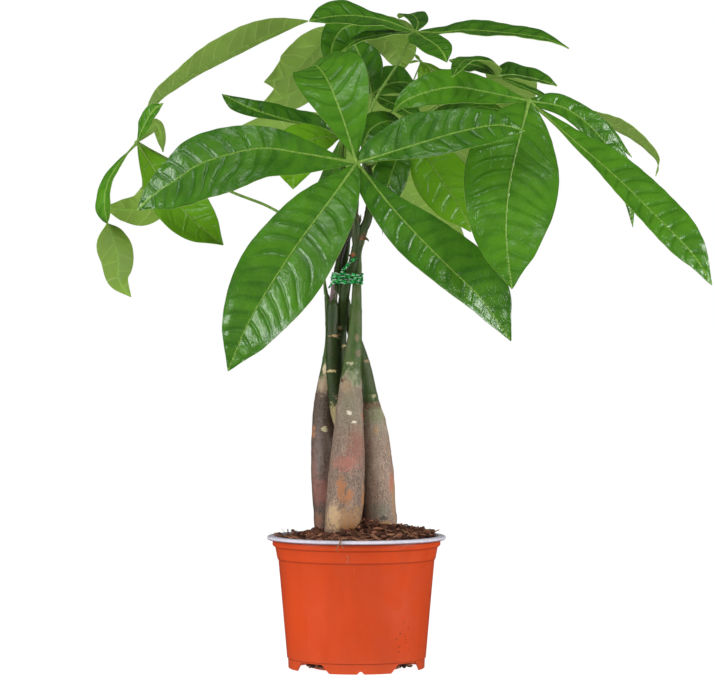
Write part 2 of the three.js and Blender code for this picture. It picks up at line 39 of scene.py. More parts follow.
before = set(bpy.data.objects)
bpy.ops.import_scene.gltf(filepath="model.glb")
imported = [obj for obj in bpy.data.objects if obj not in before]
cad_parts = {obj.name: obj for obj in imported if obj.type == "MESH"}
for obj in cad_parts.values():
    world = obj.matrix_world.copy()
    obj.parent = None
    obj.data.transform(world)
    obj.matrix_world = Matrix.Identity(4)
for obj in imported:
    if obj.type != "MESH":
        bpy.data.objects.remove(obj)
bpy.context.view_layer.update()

MM = 0.001
PICTURE_WIDTH = 715
SENSOR = 36
# How near points are welded, in metres, and the angle from which an edge stays crisp
WELD = 2e-6
CRISP_ANGLE = math.radians(40)
# The range of a random turn, in radians
ANY_TURN = (0, 6.28)

# The front view that leaf points are read in: where the eye is, in millimetres, the picture's
# middle and the focal length in its pixels
EYE = (0.7, -2000, 221)
VIEW_MIDDLE = (357.5, 345)
FOCAL = 2915
# Millimetres that one of its pixels covers at the stems
VIEW_MM = 0.69

# Pot, in millimetres
LIP_RADIUS = 61.3
POT_HEIGHT = 90.4
LIP_HEIGHT = 2.6
BEAD_RADIUS = 57.6
COLLAR_TOP_RADIUS = 55.7
COLLAR_FOOT_RADIUS = 54.4
BODY_TOP_RADIUS = 53.5
BODY_FOOT_RADIUS = 47.6
FOOT_RADIUS = 46.7
FOOT_HEIGHT = 6.8
COLLAR_FOOT_Z = 75.4
BEAD_FOOT_Z = 83.6
WALL = 1.2
FLOOR_DISC_RADIUS = 30
FLOOR_RING_Z = 4
FLOOR_THICKNESS = 1.5
POT_TURN = 3.5
POT_STEPS = 144
CUT_COUNT = 4
CUT_HEIGHT = 6
CUT_TOP_HALF = 9.6
CUT_FOOT_HALF = 15.6
CUT_INNER_RADIUS = 34
NOTCH_HEIGHT = 2.3
NOTCH_HALF = 3
NOTCH_INNER_RADIUS = 43
# Specks of peat that stick to the wall: the middle of the patch and how far it reaches
SPECKS_AT = (32, -40, 22)
SPECKS_REACH = (7, 16, 17)

# Soil
SOIL_GAP = 0.35
SOIL_EDGE_Z = 88.8
SOIL_RADIUS = 54.2
SOIL_RISE = 10.5
SOIL_TILT = 0.05
SOIL_LUMP = 0.9
SOIL_STEPS = 150
SOIL_RINGS = 60
CUT_OUT_CRUMBS = 300
CUT_OUT_REACH = (35.5, 43.5)
CUT_OUT_LEVEL = (2.8, 5)
BIG_CRUMB = (1.2, 2.9)
SMALL_CRUMB = (0.35, 1.1)
FIBRE_LENGTH = (4, 15)
THICK_FIBRE = (0.5, 1.05)
THIN_FIBRE = (0.13, 0.42)
SOIL_MOUND = {"x": 5, "y": -14, "radius": 9, "height": 6.5}

# Foliage
HUB_RADIUS = 1.9
# How far a stalk's foot reaches into its stem
STALK_SEAT = 0.95
PETIOLE_RADIUS = 1.05
WIDEST_AT = 1.23
BLADE_FULLNESS = 0.78
FOLD = 0.16
WAVE = 0.05
WAVE_COUNT = 2.5
VEIN_SPACING = 11.2
VEIN_COUNTS = (5, 17)
# Steps between rows of faces along a blade, a midrib and a petiole, and the fewest and most rows
BLADE_ROWS = (1.1, 12, 150)
MIDRIB_ROWS = (2.4, 10, 60)
PETIOLE_ROWS = (1.6, 12, 130)
TONE_STRAY = 0.06

# The tie round the stems
TIE_Z = 262.6
TIE_HEIGHT = 7.4
STRAND_STEPS = 60

# Stems: x, y, z and the radius there, from the end in the soil upwards. A second list is a branch.
TRUNKS = {
    "trunk_front": [[
        [-12, -14, 52, 6], [-12.5, -17, 80, 8], [-11.8, -18, 94, 10.2], [-8.5, -19, 107, 12.7],
        [-6.4, -19, 136, 12.1], [-4.7, -18, 176, 9.2], [-3.2, -15, 203, 6.7],
        [-0.7, -10, 233, 4.5], [0.3, -4, 262, 3.1], [0.8, -0.8, 274, 2.9], [0.9, 1, 285, 2.8],
        [5.2, 3.6, 300, 2.6], [9.4, 7, 318, 2.5], [9, 10.4, 331, 2.4], [6, 13, 345, 2.2],
        [7, 17, 362, 1.8],
    ]],
    "trunk_left": [[
        [-20, 5, 55, 6], [-21, 4, 98, 8], [-22.1, 6, 131, 8.9], [-22.6, 8, 158, 8.4],
        [-22.3, 7, 177, 7.4], [-21, 6.2, 193, 6], [-19.2, 7, 211, 4.2], [-18.8, 7, 226, 2.7],
        [-19.6, 6.8, 243, 2.1], [-20.4, 6.6, 256, 1.8],
    ]],
    "trunk_front_left": [[
        [-5, 13, 55, 6], [-5, 12.5, 98, 7.8], [-6, 6.5, 150, 6.5], [-12.5, -4, 177, 5.6],
        [-16, -6.5, 203, 4.6], [-16.6, -8, 233, 4.1], [-16.3, -7.5, 247, 3.9],
        [-15.8, -6, 252, 2.7], [-14, -3, 266, 2.5], [-10.5, 2, 283, 2.4], [-4.4, 3, 299, 2.1],
        [-3.2, 3.5, 306, 1.8],
    ]],
    "trunk_middle": [
        [
            [11, 20, 55, 6], [11, 20, 98, 8], [5, 17.5, 150, 6.8], [-6.2, 9, 178, 5.7],
            [-10.2, 2.2, 203, 4.5], [-10.6, -0.5, 233, 3.9], [-7.2, -5, 262, 3.4],
            [-3, -7.2, 274, 3.4], [0.3, -8, 288, 3.3], [2.8, -7, 297, 3.3], [7.4, -6, 306, 3],
            [9.4, -3, 319, 2.8], [9.4, 0.5, 335, 2.5], [5.8, 3, 352, 2.2], [4.6, 3.6, 362, 1.8],
        ],
        [[0.3, -8, 288, 2.9], [-0.4, -8, 299, 3.1], [-0.3, -8, 310.5, 2.5]],
    ],
    "trunk_right": [[
        [18, 1, 55, 6], [17, 0, 98, 10.6], [16, 0, 107, 10.9], [14.6, 0, 139, 10.3],
        [11.6, 0.5, 166, 8.8], [8.2, 3, 183, 7], [4.4, 6, 207, 5.2], [-3.4, 6.6, 233, 3.9],
        [-7.6, 5.4, 250, 3.4], [-10.6, 3.4, 264, 3.1], [-10, 5.6, 274, 3], [-7.6, 9, 287, 3],
        [-7, 12, 305, 2.7], [-8, 16, 330, 2.4], [-9, 17, 340, 2.2], [-10, 19, 352, 1.8],
    ]],
}

# Leaves: root is where the stalk leaves its stem, in millimetres. The points of the petiole, the
# hub and the leaflets are columns and rows of the front view, each with a depth in millimetres.
# slender makes a young leaf's stalks and hub thinner.
# Leaflets: the points that the midrib passes after the hub, half the width in millimetres, where
# it is widest, the way the upper side faces, with "turn" for a twisted one's tip, and a tone
# from 0, deep green, to 1, yellow green.
# Two widths are those on the right and on the left of the midrib, for an eye above the leaflet
# that looks towards its tip.
LEAVES = {
    "leaf_front": {
        "root": [-0.3, -8, 312.1],
        "petiole": [[356, 198, -26], [355.5, 182, -58]],
        "hub": [357, 163, -95],
        "leaflets": [
            {"to": [[343.5, 120, -93], [335, 97, -88], [326.5, 78, -78], [317, 66, -62],
             [310, 67, -44]], "half": [26, 20.5], "widest": [1.35, 1.5], "face": [0, -1, 0.35],
             "tone": 0.62},
            {"to": [[300, 153, -103], [258, 148.5, -105], [205, 162, -101], [177, 179, -96],
             [152, 196, -90], [137, 210, -86]], "half": [19.5, 30], "widest": [1.35, 1.25],
             "face": [0, -0.9, 0.5], "tone": 0.4},
            {"to": [[330, 200, -112], [290, 255, -125], [250, 320, -120], [228, 371, -108]],
             "half": [26, 30.5], "widest": [1.1, 1.02], "face": [-0.2, -1, 0.25], "tone": 0.5},
            {"to": [[389, 204, -100], [418, 236, -102], [450, 268, -102], [482, 300, -97],
             [511, 341, -87]], "half": [18, 24], "widest": [0.75, 1.6], "face": [0.25, -1, 0.35],
             "tone": 0.35},
            {"to": [[398, 150, -106], [427, 141, -110], [462, 131, -110], [498, 125, -105],
             [526, 131, -97]], "half": [15.6, 20.6], "widest": [1.4, 0.66],
             "face": [0, -0.9, 0.5], "tone": 0.35},
        ],
    },
    "leaf_right": {
        "root": [7.3, -1, 345.4],
        "petiole": [[371, 163, -15], [390, 152, -24], [414, 141, -25], [460, 128, -40],
                    [505, 112, -56]],
        "hub": [529, 101, -60],
        "leaflets": [
            {"to": [[482, 91, -67], [455, 87, -74], [427, 92, -79], [405, 101, -81],
             [393, 112, -82]], "half": [13.5, 14.5], "face": [-0.1, -0.9, 0.5], "tone": 0.5},
            {"to": [[521, 133, -75], [511, 175, -89], [506, 221, -101], [508, 259, -110],
             [512, 289, -116]], "half": [31, 32], "widest": [0.85, 1], "face": [0.1, -1, 0.15],
             "tone": 0.55},
            {"to": [[555, 124, -61], [580, 146, -66], [605, 167, -69], [630, 190, -73],
             [655, 215, -77], [680, 240, -80], [697, 260, -81], [712, 285, -82]],
             "half": [14, 19], "widest": [2, 1.4], "face": [0.4, -0.85, 0.4], "tone": 0.55},
            {"to": [[562, 107, -54], [590, 126, -50], [614, 156, -46], [628, 190, -44],
             [633, 227, -42]], "half": 10, "widest": 0.75, "face": [0.3, -0.9, 0.5], "tone": 0.4},
            {"to": [[553, 97, -46], [578, 109, -36], [604, 128, -30], [632, 157, -30]],
             "half": 5.5, "face": [0.3, -0.9, 0.6], "tone": 0.5},
            {"to": [[562, 110, -34], [588, 115, -22], [612, 124, -14], [633, 136, -12],
             [649, 149, -12], [658, 161, -14], [656, 176, -18]], "half": 10,
             "face": [0.4, 0.35, 1], "tone": 0.5},
        ],
    },
    "leaf_top": {
        "root": [4.6, 3.6, 363],
        "petiole": [[367, 122, 0], [378, 95, -4], [397, 65, -11]],
        "hub": [415.6, 32, -20],
        "leaflets": [
            {"to": [[385, 20.5, -28], [360, 16, -35], [335, 16, -41], [309, 21, -46]],
             "half": [16, 17], "widest": [2, 1.23], "face": [-0.1, -0.62, 0.8], "tone": 0.4},
            {"to": [[440, 32.5, -22], [464, 30, -25], [493, 31.5, -28], [522, 34.5, -29],
             [546, 38.5, -30], [569, 48.5, -30]], "half": 15.5, "widest": 0.9,
             "face": [0.1, -0.45, 1], "tone": 0.45},
            {"to": [[425, 38, -33], [436, 45, -45], [443, 53, -53], [447, 62, -57]],
             "half": [17, 10], "face": [0.2, -0.85, 0.7], "tone": 0.4},
            {"to": [[385, 34, -32], [358, 40, -38], [340, 52, -38]], "half": 8,
             "face": [0.1, -0.4, 1], "tone": 0.5},
            {"to": [[418, 22, 0], [411, 14, 22], [399, 18, 44]], "half": 9,
             "face": [0.1, -0.7, 0.8], "tone": 0.35},
            {"to": [[375, 24, -3], [346, 27, -4], [333, 44, -14], [330, 72, -22]], "half": 11,
             "face": [0.2, -1, 0.5], "tone": 0.3},
        ],
    },
    "leaf_left": {
        "root": [-21, 6.5, 256.6],
        "petiole": [[316, 240, 4], [273, 209, -12], [223, 188, -28]],
        "hub": [137, 143, -45],
        "leaflets": [
            {"to": [[124, 157, -54], [109, 180, -59], [104.5, 202, -61], [107.5, 222, -60],
             [113, 240, -58], [118, 258, -56], [119, 280, -54], [131, 297, -52]], "half": 13,
             "widest": 1.6, "face": [-0.8, -0.6, 0.3], "turn": [-0.5, 0.9, 0.1], "tone": 0.6},
            {"to": [[153, 167, -48], [170, 192, -52], [190, 217, -58], [223, 245, -62]],
             "half": 18.5, "face": [0.1, -0.9, 0.5], "tone": 0.85},
            {"to": [[152, 167, -32], [158, 191, -26], [144, 208, -26], [124, 210, -30],
             [103, 207, -34]], "half": 12, "face": [-0.2, 1, -0.3], "tone": 0.5},
            {"to": [[143, 128, -55], [152, 112, -60], [163, 103, -60]], "half": 7,
             "face": [-0.6, -0.7, 0.3], "tone": 0.6},
            {"to": [[148, 131, -36], [156, 124, -32], [160.5, 134, -32], [163, 152, -34]],
             "half": 4, "face": [-0.3, 0.9, -0.2], "tone": 0.4},
            {"to": [[147, 119, -40], [158, 99, -36], [176, 84, -32], [200, 68, -26],
             [228, 53.5, -20], [255, 41, -13], [282, 29.5, -5], [308, 21, 2]], "half": [15.5, 6],
             "widest": [1.6, 1.2], "face": [-0.45, 0.62, 0.62], "tone": 0.5},
        ],
    },
    "leaf_inner_left": {
        "root": [-9.7, 13.9, 341.2],
        "petiole": [[342, 156, 10]],
        "hub": [341, 138, 5],
        "leaflets": [
            {"to": [[322, 128, -2], [292, 121, -9], [264, 113, -13], [246, 106, -14],
             [222, 94, -10]], "half": [10, 8], "widest": [0.8, 4], "face": [0, -0.85, 0.5],
             "tone": 0.2},
            {"to": [[325, 137, -12], [305, 143, -25], [295, 162, -34], [293, 189, -38]],
             "half": 17, "widest": 1.5, "face": [0, -0.9, 0.45], "tone": 0.8},
            {"to": [[338, 115, 18], [332, 88, 30], [322, 62, 36]], "half": 15,
             "face": [0, -1, 0.3], "tone": 0.5},
            {"to": [[335, 165, 14], [324, 205, 22], [312, 245, 24]], "half": 11,
             "face": [-0.2, -0.5, 0.5], "tone": 0.4},
        ],
    },
    "leaf_upper_left": {
        "root": [-10, 19, 352.9],
        "petiole": [[348, 115, 34], [352, 65, 42]],
        "hub": [352, 24, 46],
        "leaflets": [
            {"to": [[325, 40, 52], [306, 60, 56], [288, 76, 56], [264, 82, 52]], "half": 17,
             "face": [-0.5, 0.8, 0.4], "tone": 0.5},
            {"to": [[334, 55, 62], [310, 80, 70], [287, 96, 72], [262, 104, 70]], "half": 17,
             "face": [-0.5, 0.8, 0.4], "tone": 0.7},
            {"to": [[378, 32, 56], [396, 48, 64], [402, 72, 68]], "half": 17,
             "face": [0.4, 0.8, 0.5], "tone": 0.3},
            {"to": [[350, 22, 80], [343, 48, 108], [336, 88, 116]], "half": 16,
             "face": [0, 0.8, 0.6], "tone": 0.5},
            {"to": [[372, 20, 70], [395, 36, 95], [403, 70, 108]], "half": 16,
             "face": [0.3, 0.6, 0.7], "tone": 0.45},
        ],
    },
    "leaf_inner_right": {
        "root": [9.4, 12.4, 346.2],
        "petiole": [[385, 148, 12]],
        "hub": [408, 128, 10],
        "leaflets": [
            {"to": [[425, 155, 5], [445, 185, 0], [463, 213, -4], [471, 232, -5]], "half": 20,
             "face": [0.1, -0.95, 0.3], "tone": 0.85},
            {"to": [[400, 150, -2], [391, 175, -14], [384, 200, -20], [379, 222, -22]],
             "half": 12, "face": [-0.1, -1, 0.2], "tone": 0.25},
            {"to": [[440, 114, 0], [475, 107, -8], [507, 111, -12]], "half": 12,
             "face": [0, -0.5, 0.9], "tone": 0.35},
            {"to": [[388, 121, -10], [370, 130, -24], [362, 149, -30]], "half": 10,
             "face": [0, -0.9, 0.5], "tone": 0.3},
            {"to": [[432, 134, 38], [452, 152, 62], [462, 190, 74]], "half": 17,
             "face": [0.4, 0.6, 0.7], "tone": 0.5},
        ],
    },
    "leaf_middle": {
        "root": [7, 17, 362.5],
        "petiole": [[370, 116, 18]],
        "hub": [372, 95, 18],
        "leaflets": [
            {"to": [[386, 85, 20], [402, 82, 30], [418, 86, 42]], "half": 15,
             "face": [0, -0.85, 0.5], "tone": 0.3},
            {"to": [[392, 103, 2], [410, 113, -10], [424, 118, -16]], "half": 10,
             "face": [0, -0.5, 0.85], "tone": 0.35},
            {"to": [[367, 72, 26], [358, 52, 30], [352, 38, 28]], "half": 13,
             "face": [0, -1, 0.3], "tone": 0.3},
            {"to": [[376, 92, 55], [382, 112, 84], [385, 150, 98]], "half": 17,
             "face": [0, 0.7, 0.7], "tone": 0.5},
        ],
    },
    "leaf_upper_right": {
        "root": [9.2, 16.2, 353.2],
        "petiole": [[384, 140, 30], [410, 112, 44], [462, 88, 14]],
        "hub": [498, 76, -15],
        "leaflets": [
            {"to": [[496, 69, -36], [481, 61, -54], [464, 61, -73], [452, 77, -98]], "half": 7,
             "face": [0, -0.3, 1], "tone": 0.5},
            {"to": [[512, 74.5, -8], [530, 77.5, 2], [545, 81.5, 8], [557, 86, 10]],
             "half": [7, 14], "widest": 0.8, "face": [0, -0.75, 0.8], "tone": 0.4},
            {"to": [[515, 84, -22], [535, 92, -26], [553, 101, -28]], "half": 5,
             "face": [0, -0.4, 1], "tone": 0.4},
            {"to": [[484, 68, 8], [466, 63, 20], [449, 60, 26]], "half": 10,
             "face": [0, -0.7, 0.7], "tone": 0.35},
            {"to": [[506, 74, 25], [513, 92, 55], [514, 130, 72]], "half": 18,
             "face": [0.3, 0.6, 0.7], "tone": 0.5},
        ],
    },
    "leaf_young": {
        "root": [9.4, 15, 358.4],
        "petiole": [[380, 124, 36], [405, 97, 63], [417, 72, 48]],
        "hub": [421, 61.5, -15],
        "slender": 0.5,
        "leaflets": [
            {"to": [[416, 61, -18], [410, 63, -20]], "half": 1.6, "face": [0, -0.5, 1],
             "tone": 0.9},
            {"to": [[418, 58, -13], [415, 54, -11]], "half": 1.3, "face": [0, -0.5, 1],
             "tone": 0.9},
            {"to": [[431, 66, -19], [442, 72, -22]], "half": 2.2, "face": [0, -0.6, 1],
             "tone": 0.9},
            {"to": [[426, 71, -18], [429, 81, -20]], "half": 2.4, "face": [0.2, -1, 0.3],
             "tone": 0.9},
            {"to": [[421, 71, -18], [419, 82, -20]], "half": 2, "face": [-0.2, -1, 0.3],
             "tone": 0.9},
        ],
    },
    "leaf_back": {
        "root": [-8.6, 20.2, 338.8],
        "petiole": [[346, 145, 62]],
        "hub": [352, 120, 95],
        "leaflets": [
            {"to": [[345, 165, 112], [333, 205, 118], [305, 250, 120], [275, 300, 116]],
             "half": 14, "face": [-0.2, 1, 0.35], "tone": 0.5},
            {"to": [[390, 170, 114], [432, 222, 120], [472, 280, 114]], "half": 18,
             "face": [0.2, 1, 0.35], "tone": 0.45},
            {"to": [[300, 127, 112], [250, 145, 118], [205, 178, 110]], "half": 16,
             "face": [0, 0.9, 0.5], "tone": 0.4},
            {"to": [[400, 117, 112], [450, 122, 118], [505, 152, 110]], "half": 16,
             "face": [0, 0.9, 0.5], "tone": 0.5},
            {"to": [[360, 86, 142], [364, 70, 165], [368, 86, 188]], "half": 17,
             "face": [0, 0.5, 1], "tone": 0.6},
        ],
    },
    "leaf_back_right": {
        "root": [7, 15.5, 340.6],
        "petiole": [[388, 150, 40], [412, 124, 62]],
        "hub": [455, 95, 74],
        "leaflets": [
            {"to": [[490, 112, 82], [514, 155, 90], [516, 215, 90]], "half": 18,
             "face": [0.4, 0.9, 0.3], "tone": 0.5},
            {"to": [[448, 74, 96], [442, 72, 125], [440, 105, 150]], "half": 16,
             "face": [0, 0.6, 0.9], "tone": 0.45},
            {"to": [[482, 84, 92], [506, 92, 118], [520, 130, 134]], "half": 16,
             "face": [0.4, 0.6, 0.7], "tone": 0.5},
        ],
    },
}


def seen(point):
    """The place in millimetres of a point given by its column, row and depth in the front view."""
    column, row, depth = point
    scale = (depth - EYE[1]) / FOCAL
    return np.array([EYE[0] + (column - VIEW_MIDDLE[0]) * scale, depth,
                     EYE[2] - (row - VIEW_MIDDLE[1]) * scale])


def unit(vectors):
    """The vectors of an array, each made one long."""
    size = np.linalg.norm(vectors, axis=-1, keepdims=True)
    return vectors / np.maximum(size, 1e-9)


def eased(value, low, high):
    """0 below low, 1 above high, and smooth between them."""
    share = np.clip((np.asarray(value, float) - low) / (high - low), 0, 1)
    return share * share * (3 - 2 * share)


class Route:
    """A smooth curve through points, measured along its length from 0 to 1."""

    def __init__(self, points, fine=28):
        given = [np.array(point, float) for point in points]
        run = [2 * given[0] - given[1], *given, 2 * given[-1] - given[-2]]
        places = []
        for i in range(1, len(run) - 2):
            before, here, there, after = run[i - 1:i + 3]
            for step in range(fine):
                share = step / fine
                line = (there - before) * share
                bend = (2 * before - 5 * here + 4 * there - after) * share * share
                swing = (3 * here - before - 3 * there + after) * share ** 3
                places.append(0.5 * (2 * here + line + bend + swing))
        places.append(run[-2])
        self.places = np.array(places)
        steps = np.linalg.norm(np.diff(self.places[:, :3], axis=0), axis=1)
        self.distance = np.concatenate([[0], np.cumsum(steps)])
        self.length = self.distance[-1]

    def at(self, along):
        """The places, with any radius, at these shares of the length."""
        reach = np.asarray(along, float) * self.length
        values = [np.interp(reach, self.distance, column) for column in self.places.T]
        return np.stack(values, axis=-1)

    def heading(self, along):
        """The way that the curve runs at these shares of the length."""
        share = np.asarray(along, float)
        ahead = self.at(np.clip(share + 0.006, 0, 1))[..., :3]
        return unit(ahead - self.at(np.clip(share - 0.006, 0, 1))[..., :3])


def rough(points, scale, seed, octaves):
    """Noise from about -1 to 1 at each point."""
    shift = Vector((seed * 17.3, seed * -9.1, seed * 4.7))
    values = []
    for point in points:
        place = Vector(point) * scale + shift
        total = noise.noise(place)
        for octave in range(1, octaves):
            total += noise.noise(place * 2.1 ** octave) / 1.9 ** octave
        values.append(total)
    return np.array(values)


# Meshes
def sheet(bm, columns, rows, place, uv_layer=None, uv=None):
    """A grid laid on a surface. place gives the points, in millimetres, for shares across and
    along it. Returns its vertices and faces."""
    made = bmesh.ops.create_grid(bm, x_segments=columns, y_segments=rows, size=0.5)
    verts = made["verts"]
    start = np.array([vert.co[:2] for vert in verts]) + 0.5
    across, along = start[:, 0], start[:, 1]
    points = place(across, along)
    for vert, point in zip(verts, points):
        vert.co = Vector(point) * MM
    faces = list(dict.fromkeys(face for vert in verts for face in vert.link_faces))
    if uv_layer is not None:
        known = dict(zip(verts, uv(across, along)))
        for face in faces:
            for loop in face.loops:
                loop[uv_layer].uv = known[loop.vert]
    return verts, faces


def frame_along(headings, lead):
    """Two directions across each heading: the lead made square to it, and the one past that."""
    lead = np.array(lead, float)
    right = unit(lead - headings * (headings @ lead)[..., None])
    return right, np.cross(headings, right)


def tube(bm, route, radius, sides, rows, uv_layer=None, shape=None, lead=(1, 0, 0), flat=1):
    """A closed stem along a route. radius is one number, or a function of the share along.
    shape moves the surface out, from the points, the angles and the shares along."""
    spots = {}

    def place(across, along):
        centre = route.at(along)
        middle = centre[:, :3]
        right, back = frame_along(route.heading(along), lead)
        size = radius(along, centre) if callable(radius) else np.full(len(along), radius)
        angle = across * 2 * math.pi
        out = right * np.cos(angle)[:, None] + back * np.sin(angle)[:, None] * flat
        points = middle + out * size[:, None]
        if shape is not None:
            points = points + out * shape(points, angle, along, size)[:, None]
        spots["size"] = size
        return points

    def wrap(across, along):
        reach = route.length * MM
        return np.stack([across * 2 * math.pi * np.max(spots["size"]) * MM, along * reach], -1)

    verts, _ = sheet(bm, sides, rows, place, uv_layer, wrap)
    bmesh.ops.remove_doubles(bm, verts=verts, dist=WELD)
    verts = [vert for vert in verts if vert.is_valid]
    edges = dict.fromkeys(edge for vert in verts for edge in vert.link_edges)
    ends = [edge for edge in edges if edge.is_boundary]
    bmesh.ops.holes_fill(bm, edges=ends, sides=0)
    return verts


def mesh_of(name, bm):
    """A new mesh from a finished bmesh."""
    mesh = bpy.data.meshes.new(name)
    bm.to_mesh(mesh)
    bm.free()
    return mesh


def placed(name, data):
    """A new object in the scene."""
    obj = bpy.data.objects.new(name, data)
    bpy.context.scene.collection.objects.link(obj)
    return obj


def gathered(items, build):
    """One bmesh of many small shapes, each with a tone. build adds an item to a bmesh. They are
    built a batch at a time, because each one takes longer in a larger bmesh."""
    batch = 30
    whole = bmesh.new()
    whole.verts.layers.float.new("tone")
    for start in range(0, len(items), batch):
        part = bmesh.new()
        tones = part.verts.layers.float.new("tone")
        for item in items[start:start + batch]:
            build(part, tones, item)
        mesh = mesh_of("part", part)
        whole.from_mesh(mesh)
        bpy.data.meshes.remove(mesh)
    return whole


def tidy_up(bm):
    """Turns faces out and smooths them, with sharp edges kept crisp."""
    bmesh.ops.recalc_face_normals(bm, faces=bm.faces[:])
    for face in bm.faces:
        face.smooth = True
    for edge in bm.edges:
        if len(edge.link_faces) == 2 and edge.calc_face_angle(0) > CRISP_ANGLE:
            edge.smooth = False


def piece(bm, name, materials, nodes):
    """Puts a finished mesh in the scene, riding on the root body."""
    obj = placed(name, mesh_of(name, bm))
    for material in materials:
        obj.data.materials.append(material)
    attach(obj, "root")
    if nodes:
        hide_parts(*nodes)
    return obj


# Materials
class Finish:
    """A node material being built up, with short calls for the nodes it needs."""

    def __init__(self, name, **settings):
        self.material = bpy.data.materials.new(name)
        self.material.use_nodes = True
        self.tree = self.material.node_tree
        self.shader = self.tree.nodes["Principled BSDF"]
        for socket, value in settings.items():
            self.shader.inputs[socket.replace("_", " ")].default_value = value
        self.object = self.add("ShaderNodeTexCoord").outputs["Object"]

    def add(self, kind, **settings):
        """A new node with these properties."""
        node = self.tree.nodes.new(kind)
        for key, value in settings.items():
            setattr(node, key, value)
        return node

    def feed(self, socket, value):
        """Links a node's output to a socket, or sets the socket to a value."""
        if isinstance(value, bpy.types.NodeSocket):
            self.tree.links.new(value, socket)
        elif value is not None:
            socket.default_value = value

    def math(self, operation, first, second=None):
        node = self.add("ShaderNodeMath", operation=operation)
        self.feed(node.inputs[0], first)
        self.feed(node.inputs[1], second)
        return node.outputs[0]

    def stretch(self, scale, shift=(0, 0, 0)):
        """Object coordinates scaled along each axis and shifted."""
        node = self.add("ShaderNodeMapping")
        self.feed(node.inputs["Vector"], self.object)
        node.inputs["Location"].default_value = shift
        node.inputs["Scale"].default_value = scale
        return node.outputs[0]

    def cloud(self, scale, detail, rough=0.55, source=None, warp=0):
        """Soft noise from 0 to 1."""
        node = self.add("ShaderNodeTexNoise")
        self.feed(node.inputs["Vector"], source or self.object)
        node.inputs["Scale"].default_value = scale
        node.inputs["Detail"].default_value = detail
        node.inputs["Roughness"].default_value = rough
        node.inputs["Distortion"].default_value = warp
        return node.outputs["Fac"]

    def cells(self, scale, feature="F1", source=None):
        """The distance from the middles or the edges of uneven cells."""
        node = self.add("ShaderNodeTexVoronoi", feature=feature)
        self.feed(node.inputs["Vector"], source or self.object)
        node.inputs["Scale"].default_value = scale
        return node.outputs["Distance"]

    def span(self, value, low, high, start=0.0, end=1.0):
        """Start below low, end above high, and smooth between them."""
        node = self.add("ShaderNodeMapRange", interpolation_type="SMOOTHSTEP")
        self.feed(node.inputs["Value"], value)
        for key, number in (("From Min", low), ("From Max", high), ("To Min", start),
                            ("To Max", end)):
            self.feed(node.inputs[key], number)
        return node.outputs[0]

    def mix(self, share, under, over):
        """The colour under at a share of 0 and the one over it at 1."""
        node = self.add("ShaderNodeMix", data_type="RGBA")
        self.feed(node.inputs[0], share)
        for socket, value in ((node.inputs[6], under), (node.inputs[7], over)):
            self.feed(socket, (*value, 1) if isinstance(value, tuple) else value)
        return node.outputs[2]

    def cover(self, colour, mask, share, tint):
        """A colour covered by a share of a tint where the mask is 1."""
        return self.mix(self.math("MULTIPLY", mask, share), colour, tint)

    def plus(self, value, other, share):
        """A value with a share of another one added."""
        return self.math("ADD", value, self.math("MULTIPLY", other, share))

    def parts(self, vector):
        """The X, Y and Z of a vector."""
        node = self.add("ShaderNodeSeparateXYZ")
        self.feed(node.inputs[0], vector)
        return node.outputs

    def tag(self, name):
        """A value that the mesh carries at its points."""
        return self.add("ShaderNodeAttribute", attribute_name=name).outputs["Fac"]

    def uv(self):
        return self.add("ShaderNodeUVMap", uv_map="UVMap").outputs[0]

    def patch(self, centre, size, wobble, blur=0.4):
        """A mask round a place: sizes along X, Y and Z in millimetres. wobble makes its edge
        ragged and blur makes it soft."""
        shift = tuple(-middle / reach for middle, reach in zip(centre, size))
        scaled = self.stretch(tuple(1000 / reach for reach in size), shift=shift)
        length = self.add("ShaderNodeVectorMath", operation="LENGTH")
        self.feed(length.inputs[0], scaled)
        edge = self.math("ADD", length.outputs["Value"], wobble)
        return self.span(edge, 1 - blur, 1 + blur / 3, 1, 0)

    def wobble(self, grain, amount):
        """Noise round zero that makes the edges of patches ragged."""
        noise_value = self.cloud(grain, 5, 0.65)
        return self.math("MULTIPLY", self.math("SUBTRACT", noise_value, 0.5), amount)

    def finish(self, colour, roughness, height=None, depth=None, strength=None):
        """The finished material. depth is the relief's height in metres."""
        self.feed(self.shader.inputs["Base Color"], colour)
        self.feed(self.shader.inputs["Roughness"], roughness)
        if height is not None:
            bump = self.add("ShaderNodeBump")
            bump.inputs["Strength"].default_value = strength
            bump.inputs["Distance"].default_value = depth
            self.feed(bump.inputs["Height"], height)
            self.feed(self.shader.inputs["Normal"], bump.outputs[0])
        return self.material


def paint(red, green, blue):
    """A colour on the 0 to 255 scale of a screen, as the linear one that shaders take."""
    values = [value / 255 for value in (red, green, blue)]
    return tuple(value / 12.92 if value <= 0.04045 else ((value + 0.055) / 1.055) ** 2.4
                 for value in values)


def toned(colour, share):
    """A colour made darker, or lighter for a share over 1."""
    return tuple(value * share for value in colour)


# Settings
def colour_setting(name, description, value):
    return bpy.props.FloatVectorProperty(name=name, description=description, subtype="COLOR",
                                         size=3, min=0, max=1, default=paint(*value))


class PotSettings(bpy.types.PropertyGroup):
    """Colours of the pot"""
    outside: colour_setting("Outside", "Terracotta orange outside", (206, 66, 6))
    lip: colour_setting("Lip", "Pale lavender lip and inside", (214, 208, 224))


class SoilSettings(bpy.types.PropertyGroup):
    """Soil and what lies on it"""
    peat: colour_setting("Peat", "Dark moist peat", (66, 36, 28))
    fibre: colour_setting("Fibre", "Light dry fibres", (192, 138, 106))
    crumbs: bpy.props.IntProperty(name="Crumbs", description="Crumbs of peat on the heap",
                                  default=1500, min=0, max=4000)
    fibres: bpy.props.IntProperty(name="Fibres", description="Loose fibres on the heap",
                                  default=620, min=0, max=2000)


